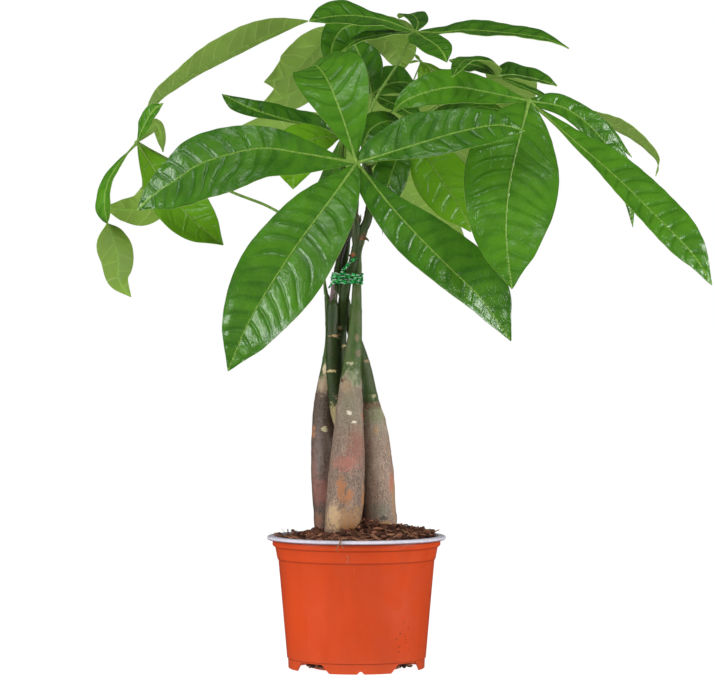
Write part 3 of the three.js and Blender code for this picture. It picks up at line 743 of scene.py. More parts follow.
class StemSettings(bpy.types.PropertyGroup):
    """Colours of the stems"""
    bark: colour_setting("Bark", "Grey-brown bark", (156, 126, 108))
    shade: colour_setting("Streaks", "Dark streaks in the bark", (98, 78, 68))
    green: colour_setting("Green", "Young green stem", (86, 112, 54))


class LeafSettings(bpy.types.PropertyGroup):
    """Colours and relief of the leaves"""
    deep: colour_setting("Deep green", "Upper side of an old leaflet", (28, 74, 17))
    fresh: colour_setting("Fresh green", "Upper side of a young leaflet", (82, 140, 25))
    spring: colour_setting("Spring green", "Upper side of the youngest leaflets", (130, 186, 26))
    under: colour_setting("Underside", "Pale underside", (132, 168, 64))
    rib: colour_setting("Midrib", "Midrib and stalk", (134, 176, 70))
    quilting: bpy.props.FloatProperty(name="Quilting", description="Rise between side veins",
                                      default=0.00055, min=0, max=0.002, unit="LENGTH")
    thickness: bpy.props.FloatProperty(name="Thickness", description="Thickness of a leaflet",
                                       default=0.00045, min=0.0002, max=0.001, unit="LENGTH")


class TieSettings(bpy.types.PropertyGroup):
    """The foil tie"""
    foil: colour_setting("Foil", "Green metallic foil", (50, 226, 110))
    strands: bpy.props.IntProperty(name="Strands", description="Turns round the stems",
                                   default=4, min=1, max=8)


class StageSettings(bpy.types.PropertyGroup):
    """Floor, light and camera"""
    floor: colour_setting("Floor", "Plain pale floor", (250, 250, 250))
    key: bpy.props.FloatProperty(name="Key light", description="Strength of the large soft light",
                                 default=1.38, min=0)
    fill: bpy.props.FloatProperty(name="Fill light", description="Power of the left softbox",
                                  default=12, min=0, subtype="POWER")
    surround: bpy.props.FloatProperty(name="Surround", description="Strength of the surround",
                                      default=0.12, min=0)
    mirrored: bpy.props.FloatProperty(name="Mirrored surround", default=0.05, min=0,
                                      description="Strength of the surround in gloss")


class MoneyTreeSettings(bpy.types.PropertyGroup):
    """All settings of the potted money tree"""
    pot: bpy.props.PointerProperty(type=PotSettings, name="Pot", description="Pot")
    soil: bpy.props.PointerProperty(type=SoilSettings, name="Soil", description="Soil")
    stems: bpy.props.PointerProperty(type=StemSettings, name="Stems", description="Stems")
    leaves: bpy.props.PointerProperty(type=LeafSettings, name="Leaves", description="Leaves")
    tie: bpy.props.PointerProperty(type=TieSettings, name="Tie", description="Tie")
    stage: bpy.props.PointerProperty(type=StageSettings, name="Stage", description="Stage")


# Pot
def pot_profile():
    """Radius and height from the middle of the underside out, up the wall, over the lip and down
    the inside to the floor."""
    lip_foot = POT_HEIGHT - LIP_HEIGHT
    ring_top = FLOOR_RING_Z + FLOOR_THICKNESS
    return [
        (0, 0), (FLOOR_DISC_RADIUS, 0), (FLOOR_DISC_RADIUS + 3, FLOOR_RING_Z),
        (FOOT_RADIUS - WALL, FLOOR_RING_Z), (FOOT_RADIUS - WALL, 0),
        (FOOT_RADIUS - 0.3, 0), (FOOT_RADIUS, 0.3), (FOOT_RADIUS + 0.2, FOOT_HEIGHT - 0.3),
        (FOOT_RADIUS + 0.35, FOOT_HEIGHT), (BODY_FOOT_RADIUS - 0.2, FOOT_HEIGHT + 0.15),
        (BODY_FOOT_RADIUS, FOOT_HEIGHT + 0.6),
        (BODY_FOOT_RADIUS + (BODY_TOP_RADIUS - BODY_FOOT_RADIUS) * 0.5,
         (FOOT_HEIGHT + COLLAR_FOOT_Z) * 0.5),
        (BODY_TOP_RADIUS, COLLAR_FOOT_Z - 1.6), (BODY_TOP_RADIUS + 0.5, COLLAR_FOOT_Z - 1.1),
        (COLLAR_FOOT_RADIUS - 0.15, COLLAR_FOOT_Z - 0.3), (COLLAR_FOOT_RADIUS, COLLAR_FOOT_Z + 0.2),
        (COLLAR_TOP_RADIUS, BEAD_FOOT_Z - 1.1), (COLLAR_TOP_RADIUS + 0.7, BEAD_FOOT_Z - 0.5),
        (BEAD_RADIUS - 0.3, BEAD_FOOT_Z + 0.2), (BEAD_RADIUS, BEAD_FOOT_Z + 0.8),
        (BEAD_RADIUS, lip_foot - 0.4), (BEAD_RADIUS - 0.5, lip_foot - 0.1),
        (BEAD_RADIUS - 0.5, lip_foot + 0.25), (LIP_RADIUS - 0.9, lip_foot),
        (LIP_RADIUS - 0.25, lip_foot + 0.45), (LIP_RADIUS, lip_foot + LIP_HEIGHT / 2),
        (LIP_RADIUS - 0.25, POT_HEIGHT - 0.45), (LIP_RADIUS - 0.9, POT_HEIGHT),
        (BEAD_RADIUS - WALL, POT_HEIGHT), (BEAD_RADIUS - WALL - 0.5, POT_HEIGHT - 0.5),
        (COLLAR_TOP_RADIUS - WALL, BEAD_FOOT_Z - 1), (COLLAR_FOOT_RADIUS - WALL, COLLAR_FOOT_Z),
        (BODY_TOP_RADIUS - WALL, COLLAR_FOOT_Z - 1.6), (BODY_FOOT_RADIUS - WALL, ring_top),
        (FLOOR_DISC_RADIUS + 2, ring_top), (FLOOR_DISC_RADIUS - 1, FLOOR_THICKNESS),
        (0, FLOOR_THICKNESS),
    ]


def spun(bm, profile, steps):
    """Turns a profile of radius and height about the Z axis into a closed skin."""
    verts = [bm.verts.new((radius * MM, 0, height * MM)) for radius, height in profile]
    edges = [bm.edges.new(pair) for pair in zip(verts, verts[1:])]
    bmesh.ops.spin(bm, geom=verts + edges, cent=(0, 0, 0), axis=(0, 0, 1), angle=2 * math.pi,
                   steps=steps, use_merge=True)
    bmesh.ops.remove_doubles(bm, verts=bm.verts[:], dist=WELD / 2)
    bmesh.ops.recalc_face_normals(bm, faces=bm.faces[:])


def radial_cutter(bm, outline, inner, degrees):
    """A prism that points outwards, with its outline across it and upwards."""
    verts = [bm.verts.new((across * MM, -inner * MM, up * MM)) for across, up in outline]
    face = bm.faces.new(verts)
    made = bmesh.ops.extrude_face_region(bm, geom=[face])
    moved = [item for item in made["geom"] if isinstance(item, bmesh.types.BMVert)]
    bmesh.ops.translate(bm, verts=moved, vec=(0, -(LIP_RADIUS - inner) * MM, 0))
    bmesh.ops.rotate(bm, verts=verts + moved, cent=(0, 0, 0),
                     matrix=Matrix.Rotation(math.radians(degrees), 3, "Z"))


def cut_out(obj, cutter_bm):
    """Subtracts a cutter from an object's mesh."""
    bmesh.ops.recalc_face_normals(cutter_bm, faces=cutter_bm.faces[:])
    mesh = mesh_of("cutter", cutter_bm)
    cutter = placed("cutter", mesh)
    modifier = obj.modifiers.new("cut", "BOOLEAN")
    modifier.operation = "DIFFERENCE"
    modifier.object = cutter
    modifier.solver = "EXACT"
    graph = bpy.context.evaluated_depsgraph_get()
    cut = bpy.data.meshes.new_from_object(obj.evaluated_get(graph))
    obj.modifiers.clear()
    obj.data = cut
    bpy.data.objects.remove(cutter)
    bpy.data.meshes.remove(mesh)


class MONEYTREE_OT_pot(bpy.types.Operator):
    """Turns the two-tone pot and cuts its feet"""
    bl_idname = "moneytree.pot"
    bl_label = "Pot"

    def execute(self, context):
        settings = context.scene.money_tree.pot
        bm = bmesh.new()
        spun(bm, pot_profile(), POT_STEPS)
        materials = [pot_outside(settings), pot_lip(settings)]
        pot = piece(bm, "pot_shell", materials, ("pot",))
        cutters = bmesh.new()
        wedge = [(-CUT_FOOT_HALF, -1), (CUT_FOOT_HALF, -1), (CUT_TOP_HALF + 0.5, CUT_HEIGHT - 0.7),
                 (CUT_TOP_HALF - 0.8, CUT_HEIGHT), (-CUT_TOP_HALF + 0.8, CUT_HEIGHT),
                 (-CUT_TOP_HALF - 0.5, CUT_HEIGHT - 0.7)]
        notch = [(-NOTCH_HALF, -0.5), (NOTCH_HALF, -0.5), (0.3, NOTCH_HEIGHT),
                 (-0.3, NOTCH_HEIGHT)]
        for i in range(CUT_COUNT):
            turn = POT_TURN + 360 / CUT_COUNT * i
            radial_cutter(cutters, notch, NOTCH_INNER_RADIUS, turn)
            radial_cutter(cutters, wedge, CUT_INNER_RADIUS, turn + 45)
        cut_out(pot, cutters)
        finished = bmesh.new()
        finished.from_mesh(pot.data)
        tidy_up(finished)
        lip_foot = (POT_HEIGHT - LIP_HEIGHT - 0.05) * MM
        for face in finished.faces:
            middle = face.calc_center_median()
            radius = math.hypot(middle.x, middle.y)
            inward = face.normal.x * middle.x + face.normal.y * middle.y < -1e-4 * radius
            inside = inward and middle.z > (FLOOR_RING_Z + 1) * MM
            lip = middle.z > lip_foot and radius > (BEAD_RADIUS - WALL - 0.2) * MM
            face.material_index = 1 if lip or inside else 0
        finished.to_mesh(pot.data)
        finished.free()
        if len(pot.data.polygons) < POT_STEPS * 20:
            raise RuntimeError("the pot lost its walls when its feet were cut")
        return {"FINISHED"}


def pot_outside(settings):
    coat = Finish("satin_terracotta_plastic", Specular_IOR_Level=0.42)
    flow = coat.cloud(1, 3, 0.5, coat.stretch((60, 60, 14)))
    grain = coat.cloud(2600, 3, 0.6)
    base = tuple(settings.outside)
    darker = toned(base, 0.88)
    colour = coat.mix(coat.span(flow, 0.3, 0.7), base, darker)
    height = coat.parts(coat.object)[2]
    # Paler and duller towards the foot, over the lowest 20 mm of the wall
    paler_foot = coat.span(height, 0.0, 0.02, 0.2, 0)
    colour = coat.mix(paler_foot, colour, paint(186, 90, 56))
    scuffs = coat.span(coat.cloud(1, 5, 0.7, coat.stretch((420, 420, 60))), 0.62, 0.72)
    colour = coat.cover(colour, scuffs, 0.14, paint(236, 130, 92))
    # Shade in the creases under the bead, the collar and the lip, and over the foot
    for level, half in ((BEAD_FOOT_Z - 0.6, 0.7), (COLLAR_FOOT_Z - 0.9, 0.8),
                        (POT_HEIGHT - LIP_HEIGHT - 0.4, 0.9), (FOOT_HEIGHT + 0.1, 0.5)):
        away = coat.math("ABSOLUTE", coat.math("SUBTRACT", height, level * MM))
        line = coat.span(away, half * 0.4 * MM, half * MM, 0.6, 0)
        colour = coat.mix(line, colour, toned(base, 0.42))
    specks = coat.math("MULTIPLY", coat.span(coat.cells(330), 0.13, 0.2, 1, 0),
                       coat.patch(SPECKS_AT, SPECKS_REACH, coat.wobble(200, 1.2)))
    colour = coat.mix(specks, colour, paint(70, 40, 28))
    roughness = coat.span(coat.cloud(90, 4), 0.3, 0.7, 0.3, 0.4)
    relief = coat.plus(coat.math("MULTIPLY", grain, 0.12), scuffs, 0.1)
    return coat.finish(colour, roughness, relief, 0.0002, 0.5)


def pot_lip(settings):
    coat = Finish("pale_lavender_plastic", Specular_IOR_Level=0.5)
    shade = coat.cloud(140, 4)
    base = tuple(settings.lip)
    colour = coat.mix(coat.span(shade, 0.35, 0.7), base, toned(base, 0.82))
    grime = coat.span(coat.cloud(700, 5, 0.7), 0.6, 0.7)
    colour = coat.cover(colour, grime, 0.35, paint(120, 104, 96))
    height = coat.parts(coat.object)[2]
    foot = (POT_HEIGHT - LIP_HEIGHT) * MM
    shadow = coat.span(height, foot + 0.0004, foot + 0.0011, 0.8, 0)
    colour = coat.mix(shadow, colour, paint(110, 66, 60))
    return coat.finish(colour, coat.span(shade, 0.3, 0.7, 0.35, 0.5), coat.cloud(1800, 3), 0.0002, 0.3)


# Soil
def soil_top(x, y):
    """The height of the heap at a place, in millimetres."""
    radius = np.hypot(x, y)
    slope = np.maximum(0, 1 - radius / SOIL_RADIUS)
    away = np.hypot(x - SOIL_MOUND["x"], y - SOIL_MOUND["y"]) / SOIL_MOUND["radius"]
    mound = SOIL_MOUND["height"] * np.exp(-away * away)
    lumps = np.sin(x * 0.43 + 1) * np.cos(y * 0.51) + np.sin(x * 0.19 - y * 0.27)
    level = SOIL_EDGE_Z + SOIL_TILT * x
    return level + SOIL_RISE * slope * (2 - slope) * 0.75 + mound + lumps * SOIL_LUMP * slope


def soil_profile():
    """Radius and height from the middle of the floor out, up the wall and in over the top."""
    ring_top = FLOOR_RING_Z + FLOOR_THICKNESS + SOIL_GAP
    inner = WALL + SOIL_GAP
    below = [(0, FLOOR_THICKNESS + SOIL_GAP), (FLOOR_DISC_RADIUS - 1.4, FLOOR_THICKNESS + SOIL_GAP),
             (FLOOR_DISC_RADIUS + 1.6, ring_top), (BODY_FOOT_RADIUS - inner, ring_top),
             (BODY_TOP_RADIUS - inner, COLLAR_FOOT_Z - 1.5),
             (COLLAR_FOOT_RADIUS - inner, COLLAR_FOOT_Z),
             (COLLAR_TOP_RADIUS - inner, BEAD_FOOT_Z - 1)]
    above = [(SOIL_RADIUS * share, SOIL_EDGE_Z) for share in np.linspace(1, 0, SOIL_RINGS)]
    return below, above


def soil_material(settings):
    coat = Finish("moist_peat", Specular_IOR_Level=0.25)
    clods = coat.cloud(420, 6, 0.7)
    fine = coat.cloud(1900, 5, 0.75)
    peat = tuple(settings.peat)
    colour = coat.mix(coat.span(clods, 0.35, 0.7), toned(peat, 0.4), peat)
    colour = coat.mix(coat.span(fine, 0.56, 0.72, 0, 0.6), colour, paint(108, 74, 52))
    colour = coat.mix(coat.span(coat.cells(760), 0.03, 0.12, 0.5, 0), colour, paint(140, 100, 70))
    relief = coat.plus(coat.math("MULTIPLY", clods, 0.8), fine, 0.5)
    return coat.finish(colour, coat.span(fine, 0.3, 0.7, 0.75, 0.95), relief, 0.0012, 0.9)


def litter_material(name, light, dark):
    """Crumbs and fibres: each has its own tone."""
    coat = Finish(name, Specular_IOR_Level=0.3)
    tone = coat.tag("tone")
    grain = coat.cloud(1, 4, 0.6, coat.stretch((1400, 1400, 1400)))
    colour = coat.mix(tone, dark, light)
    colour = coat.mix(coat.span(grain, 0.4, 0.75, 0, 0.5), colour, toned(dark, 0.45))
    return coat.finish(colour, coat.span(grain, 0.3, 0.7, 0.6, 0.9), grain, 0.0004, 0.7)


def heap_spot(rng):
    """A place on the heap's top, in millimetres."""
    while True:
        x, y = rng.uniform(-SOIL_RADIUS, SOIL_RADIUS), rng.uniform(-SOIL_RADIUS, SOIL_RADIUS)
        if math.hypot(x, y) < SOIL_RADIUS:
            return x, y, float(soil_top(x, y))


def cut_out_spot(rng):
    """A place under the soil in one of the cut-outs of the pot's foot, in millimetres."""
    turn = math.radians(POT_TURN + 45 + 360 / CUT_COUNT * rng.randrange(CUT_COUNT))
    out, across = rng.uniform(*CUT_OUT_REACH), rng.uniform(1, -1) * (CUT_TOP_HALF - 1)
    x = math.sin(turn) * out + math.cos(turn) * across
    y = -math.cos(turn) * out + math.sin(turn) * across
    return x, y, rng.uniform(*CUT_OUT_LEVEL)


class MONEYTREE_OT_soil(bpy.types.Operator):
    """Heaps the soil in the pot and scatters crumbs and fibres on it"""
    bl_idname = "moneytree.soil"
    bl_label = "Soil"

    def execute(self, context):
        settings = context.scene.money_tree.soil
        self.heap(settings)
        self.crumbs(settings)
        self.fibres(settings)
        return {"FINISHED"}

    def heap(self, settings):
        below, above = soil_profile()
        run = np.array(below + above)
        rows = len(run) - 1
        bm = bmesh.new()

        def place(across, along):
            step = along * rows
            radius = np.interp(step, range(rows + 1), run[:, 0])
            height = np.interp(step, range(rows + 1), run[:, 1])
            angle = across * 2 * math.pi
            x, y = radius * np.cos(angle), radius * np.sin(angle)
            top = step > len(below) - 0.5
            height = np.where(top, soil_top(x, y), height)
            points = np.stack([x, y, height], -1)
            ease = np.where(top, eased(SOIL_RADIUS - radius, 0, 3), 0)
            clods = rough(points, 0.22, 3, 3) * 1.6 + rough(points, 0.9, 5, 2) * 0.6
            points[:, 2] += clods * ease
            return points

        sheet(bm, SOIL_STEPS, rows, place)
        bmesh.ops.remove_doubles(bm, verts=bm.verts[:], dist=WELD)
        tidy_up(bm)
        piece(bm, "soil_heap", [soil_material(settings)], ("soil",))

    def crumbs(self, settings):
        rng = random.Random(11)

        def crumb(bm, tones, number):
            under = number >= settings.crumbs
            x, y, z = cut_out_spot(rng) if under else heap_spot(rng)
            big = number % 4 == 0 and not under
            size = rng.uniform(*BIG_CRUMB) if big else rng.uniform(*SMALL_CRUMB) + under * 0.8
            tone = rng.random() ** 2
            made = bmesh.ops.create_icosphere(bm, subdivisions=2 if big else 1, radius=size * MM)
            verts = made["verts"]
            squash = Vector((rng.uniform(0.7, 1.5), rng.uniform(0.5, 1), rng.uniform(0.4, 0.8)))
            shift = Vector([rng.uniform(0, 99) for _ in range(3)])
            turn = Matrix.Rotation(rng.uniform(*ANY_TURN), 3, "Z")
            tip = Matrix.Rotation(rng.uniform(-0.6, 0.6), 3, "X")
            place = Vector((x, y, z + size * 0.25)) * MM
            for vert in verts:
                rounded = vert.co * (1 + 0.35 * noise.noise(vert.co * 900 / size + shift))
                vert.co = turn @ tip @ (rounded * squash) + place
                vert[tones] = tone

        bm = gathered(range(settings.crumbs + CUT_OUT_CRUMBS), crumb)
        tidy_up(bm)
        material = litter_material("peat_crumbs", paint(160, 104, 80), paint(54, 31, 25))
        piece(bm, "soil_crumbs", [material], ())

    def fibres(self, settings):
        rng = random.Random(23)
        runs = []
        for i in range(settings.fibres):
            x, y, _ = heap_spot(rng)
            length = rng.uniform(*FIBRE_LENGTH) * (1.5 if i % 11 == 0 else 1)
            angle, tilt = rng.uniform(*ANY_TURN), rng.gauss(0.04, 0.16)
            points = []
            for step in range(4):
                share = step / 3 - 0.5
                bend = rng.uniform(-1, 1)
                px = x + math.cos(angle) * length * share - math.sin(angle) * bend
                py = y + math.sin(angle) * length * share + math.cos(angle) * bend
                if math.hypot(px, py) > LIP_RADIUS - 1.5:
                    break
                on_lip = math.hypot(px, py) > COLLAR_TOP_RADIUS - WALL - 1
                floor = max(float(soil_top(px, py)), POT_HEIGHT if on_lip else 0)
                lift = max(0.4, math.tan(tilt) * length * share + rng.uniform(0.2, 1.1))
                points.append((px, py, floor + lift))
            if len(points) > 2:
                thick = i % 5 == 0
                radius = rng.uniform(*(THICK_FIBRE if thick else THIN_FIBRE))
                runs.append((points, radius, rng.random() ** (3 if thick else 1.5)))

        def fibre(bm, tones, run):
            points, radius, tone = run
            route = Route(points, 8)
            verts = tube(bm, route, lambda along, _: radius * (1.15 - 0.7 * along), sides=5,
                         rows=max(5, int(route.length / 1.6)), lead=(0.3, 0.2, 0.93))
            for vert in verts:
                vert[tones] = tone

        bm = gathered(runs + hanging_roots(), fibre)
        tidy_up(bm)
        material = litter_material("dry_fibres", tuple(settings.fibre), paint(88, 52, 40))
        piece(bm, "soil_fibres", [material], ())


def hanging_roots():
    """Three loose roots that hang over the lip in front, left of the middle, and a hair on the
    collar: their points, radius and tone."""
    front = -LIP_RADIUS - 0.6
    return [
        ([(-8, -50, 92), (-9.6, -57, 92.6), (-10.3, front, 91), (-11.8, front + 0.3, 87.5),
          (-13.4, front + 1, 85.2), (-12.2, front + 1.4, 83.6)], 0.5, 0.4),
        ([(-12, -51, 91.8), (-11.4, -57.5, 92.3), (-10.9, front, 90.8),
          (-9.8, front + 0.4, 87.8), (-8.6, front + 1, 85.4)], 0.42, 0.55),
        ([(-6, -53, 91.8), (-9, -58, 92.2), (-10.8, front, 90.4), (-12.4, front + 0.6, 87),
          (-14.2, front + 1, 84.6)], 0.36, 0.7),
        ([(-6.2, -55.1, 80.6), (-5.4, -54.7, 77.6), (-6.6, -54, 74.8)], 0.2, 0.85),
    ]


# Stems
# Dry scales and cut stalks on the stems: the points they pass in the front view and the radius at
# the foot, by the stem that they stand on
SCALES = {
    "trunk_middle": [
        ([[355, 222, -8], [353.5, 216, -8.6], [353, 210, -9]], 1.5),
        ([[357, 221, -8], [357.5, 213, -8.6], [358.4, 204, -9], [358.8, 197, -9]], 0.9),
        ([[356, 222, -9], [356, 217, -10.4], [355.4, 212, -10.6]], 1.7),
        ([[352.5, 226, -9], [351, 221, -9.8], [351.4, 216, -10]], 1.1),
        ([[358.5, 225, -8], [360.6, 220, -9], [360.8, 214, -9.4]], 1.1),
        ([[365, 238, -8], [367.4, 239.2, -9], [369, 241.6, -9.6]], 1.2),
        ([[370, 212, -4], [377, 217, -4.6], [381.6, 226, -5], [382.6, 235, -5.2]], 0.9),
        ([[351, 256, -8.4], [349, 255, -9.6], [347.6, 252.5, -10]], 0.9),
        ([[344, 348, -6], [346.6, 347, -7.6], [348, 345.6, -8.4]], 0.8),
    ],
    "trunk_front_left": [
        ([[337, 337, -12], [339.5, 338.4, -13], [341, 340.6, -13.4]], 0.8),
        ([[339, 328, -11], [341.4, 326.8, -12], [342.6, 325, -12.6]], 0.8),
    ],
    "trunk_left": [([[328, 360, 3], [325.6, 357.6, 1.6], [324.6, 354.6, 1]], 1.1)],
    "trunk_front": [([[345, 382, -17], [342, 380.6, -19], [340.2, 378.4, -20]], 1.2)],
}

# Each stem's look: the height where the green starts and how far that strays, in millimetres, how
# deep the bark is wrinkled, and the tones of its wood and of its green. The darker tones of the stems
# at the back and in the middle are partly their own colour and partly painted shade.
TRUNK_LOOK = {
    "trunk_front": {"green_from": 199, "ragged": 14, "wrinkle": 0.3, "wood": 0.9, "leafy": 0.92},
    "trunk_left": {"green_from": 197, "ragged": 10, "wrinkle": 0.26, "wood": 0.43, "leafy": 0.8},
    "trunk_front_left": {"green_from": 170, "ragged": 6, "wrinkle": 0.2, "wood": 1,
                         "leafy": 0.38},
    "trunk_middle": {"green_from": 172, "ragged": 8, "wrinkle": 0.2, "wood": 0.8, "leafy": 0.42},
    "trunk_right": {"green_from": 181, "ragged": 3, "wrinkle": 0.28, "wood": 1.18, "leafy": 0.66},
}

# Marks on the bark: column and row of the middle, width and height in the front view's pixels,
# the colour, how strongly it covers the bark and how soft its edge is
TRUNK_MARKS = {
    "trunk_front": [
        (350, 408, 34, 60, (148, 146, 118), 0.55, 0.9), (352, 377, 12, 16, (158, 164, 132), 0.7, 0.5),
        (346, 386, 12, 14, (190, 160, 128), 0.6, 0.4), (351, 363, 9, 3, (214, 204, 168), 0.9, 0.3),
        (358, 353, 5, 8, (130, 108, 86), 0.8, 0.4), (357, 338, 4, 6, (140, 118, 92), 0.7, 0.4),
        (342, 381, 3.4, 3.6, (104, 68, 46), 0.95, 0.2), (349, 413, 5, 3.4, (232, 220, 200), 1, 0.15),
        (354, 422, 5, 1.8, (232, 222, 204), 1, 0.15), (364, 416, 3, 9, (190, 96, 50), 0.95, 0.2),
        (357, 446, 20, 44, (160, 92, 76), 0.6, 0.8), (346, 463, 26, 18, (186, 110, 96), 0.6, 0.7),
        (341, 487, 9, 24, (184, 116, 68), 0.75, 0.45), (350, 494, 8, 10, (190, 120, 72), 0.7, 0.5),
        (345, 499, 14, 7, (180, 118, 74), 0.65, 0.5), (347, 521, 44, 30, (190, 144, 98), 0.8, 0.6),
        (334, 517, 14, 30, (216, 182, 140), 0.75, 0.6), (351, 527, 16, 8, (196, 126, 70), 0.6, 0.5),
        (364, 503, 5, 36, (190, 128, 70), 0.8, 0.4),
    ],
    "trunk_left": [
        (324, 429, 6, 5, (216, 204, 160), 1, 0.15), (325, 369, 3.4, 9, (226, 204, 170), 0.9, 0.2),
        (324, 385, 16, 18, (186, 160, 132), 0.75, 0.4), (313, 432, 5, 14, (196, 132, 92), 0.6, 0.4),
        (319, 452, 9, 70, (150, 132, 130), 0.45, 0.9), (314, 470, 6, 50, (156, 106, 96), 0.5, 0.7),
        (321, 492, 22, 30, (158, 94, 82), 0.6, 0.7), (331, 480, 8, 60, (140, 84, 74), 0.4, 0.7),
        (318, 520, 10, 16, (160, 108, 84), 0.6, 0.4),
    ],
    "trunk_front_left": [
        (334, 336, 8, 2.2, (196, 160, 116), 0.95, 0.2), (332, 371, 9, 2, (214, 190, 140), 0.95, 0.2),
        (337, 416, 16, 34, (190, 170, 124), 0.8, 0.35), (335, 396, 4, 2, (104, 92, 76), 0.8, 0.3),
        (331, 316, 9, 20, (42, 66, 40), 0.6, 0.5), (331, 293, 8, 24, (128, 100, 110), 0.9, 0.3),
        (341, 250, 34, 56, (48, 36, 42), 0.95, 0.4),
    ],
    "trunk_middle": [
        (344, 347, 6, 3, (206, 178, 130), 0.95, 0.2), (362.5, 238.5, 4.6, 2.6, (142, 72, 44), 0.9, 0.2),
        (352.5, 254.6, 5, 3.4, (150, 84, 52), 0.95, 0.3), (340, 328, 4, 3, (190, 130, 100), 0.9, 0.2),
        (338, 335, 6, 2, (196, 160, 124), 0.8, 0.2), (356, 216, 16, 14, (96, 74, 52), 0.9, 0.5),
        (366, 236, 10, 6, (110, 62, 44), 0.8, 0.3), (379, 229, 8, 14, (58, 66, 38), 0.9, 0.3),
    ],
    "trunk_right": [
        (367.5, 361, 8, 2.4, (164, 138, 106), 0.95, 0.2), (374, 396, 3, 3, (190, 180, 140), 0.8, 0.2),
        (376, 405, 40, 5, (118, 78, 60), 0.95, 0.3), (371, 408, 22, 4, (110, 72, 58), 0.9, 0.3),
        (377, 415, 34, 22, (132, 148, 108), 0.6, 0.6), (377, 432, 26, 24, (156, 150, 130), 0.4, 0.7),
        (376, 430, 5, 8, (184, 148, 108), 0.7, 0.3), (392, 484, 6, 24, (186, 104, 76), 0.75, 0.4),
        (381, 510, 28, 18, (126, 124, 108), 0.7, 0.6), (375, 468, 14, 60, (164, 146, 130), 0.5, 0.9),
        (383, 518, 8, 4, (60, 66, 62), 0.8, 0.3), (382, 527, 32, 12, (186, 142, 92), 0.85, 0.4),
        (394, 500, 5, 40, (180, 138, 98), 0.7, 0.4),
    ],
}


def bark_material(name, settings, look, marks):
    coat = Finish(name, Specular_IOR_Level=0.45)
    height = coat.parts(coat.object)[2]
    streaks = coat.cloud(1, 6, 0.7, coat.stretch((1300, 1300, 260)), 0.3)
    broad = coat.cloud(1, 5, 0.65, coat.stretch((160, 160, 60)))
    fine = coat.cloud(1, 4, 0.8, coat.stretch((2100, 2100, 1000)))
    rings = coat.cloud(1, 4, 0.6, coat.stretch((120, 120, 1100)))
    pores = coat.span(coat.cells(1, source=coat.stretch((800, 800, 560))), 0.08, 0.22, 1, 0)
    wood_tone, leafy = look["wood"], look["leafy"]
    bark, shade = (toned(tint, wood_tone) for tint in (settings.bark, settings.shade))
    green = toned(settings.green, leafy)
    pale = toned(paint(206, 184, 164), wood_tone)
    wood = coat.mix(coat.span(streaks, 0.32, 0.68), shade, bark)
    wood = coat.mix(coat.span(broad, 0.5, 0.75, 0, 0.4), wood, pale)
    wood = coat.mix(coat.span(broad, 0.25, 0.45, 0.4, 0), wood, toned(shade, 0.8))
    wood = coat.mix(coat.span(fine, 0.5, 0.62, 0, 0.62), wood, pale)
    wood = coat.mix(coat.span(fine, 0.36, 0.47, 0.55, 0), wood, toned(shade, 0.5))
    wood = coat.cover(wood, pores, 0.6, toned(shade, 0.35))
    young = coat.mix(coat.span(streaks, 0.3, 0.7), toned(green, 0.62), green)
    young = coat.mix(coat.span(fine, 0.55, 0.66, 0, 0.4), young, toned(green, 1.9))
    dull = toned(paint(112, 112, 80), leafy)
    young = coat.mix(coat.span(broad, 0.46, 0.62, 0, 0.5), young, dull)
    young = coat.mix(coat.span(broad, 0.3, 0.42, 0.5, 0), young, toned(green, 0.5))
    young = coat.mix(coat.span(rings, 0.64, 0.7, 0, 0.4), young, toned(green, 0.5))
    start, ragged = look["green_from"] * MM, look["ragged"] * MM
    wander = coat.math("MULTIPLY", coat.math("SUBTRACT", broad, 0.5), ragged * 4)
    level = coat.math("ADD", height, wander)
    grey_green = coat.mix(0.6, young, pale)
    colour = coat.mix(coat.span(level, start - 0.007, start - 0.003), wood, grey_green)
    colour = coat.mix(coat.span(level, start - 0.001, start + 0.001), colour, young)
    route = Route(TRUNKS[name][0])
    speckle = coat.math("MULTIPLY", coat.math("SUBTRACT", fine, 0.5), 1.8)
    wobble = coat.math("ADD", coat.wobble(460, 3), speckle)
    for column, row, wide, high, tint, cover, blur in marks:
        z = EYE[2] - (row - VIEW_MIDDLE[1]) * -EYE[1] / FOCAL
        near = route.places[np.argmin(abs(route.places[:, 2] - z))]
        centre = seen((column, row, near[1] - near[3] * 0.8))
        size = (wide * VIEW_MM / 2 + 0.3, near[3] * 1.1, high * VIEW_MM / 2 + 0.3)
        mask = coat.patch(tuple(centre), size, wobble, blur)
        share = coat.math("MULTIPLY", mask, coat.span(fine, 0.34, 0.5, cover * 0.55, cover))
        colour = coat.mix(share, colour, paint(*tint))
    relief = coat.plus(streaks, fine, 0.5)
    relief = coat.plus(relief, coat.span(rings, 0.6, 0.7), -0.3)
    roughness = coat.span(level, start - 0.004, start + 0.004, 0.5, 0.27)
    return coat.finish(colour, roughness, relief, 0.0005, 0.7)


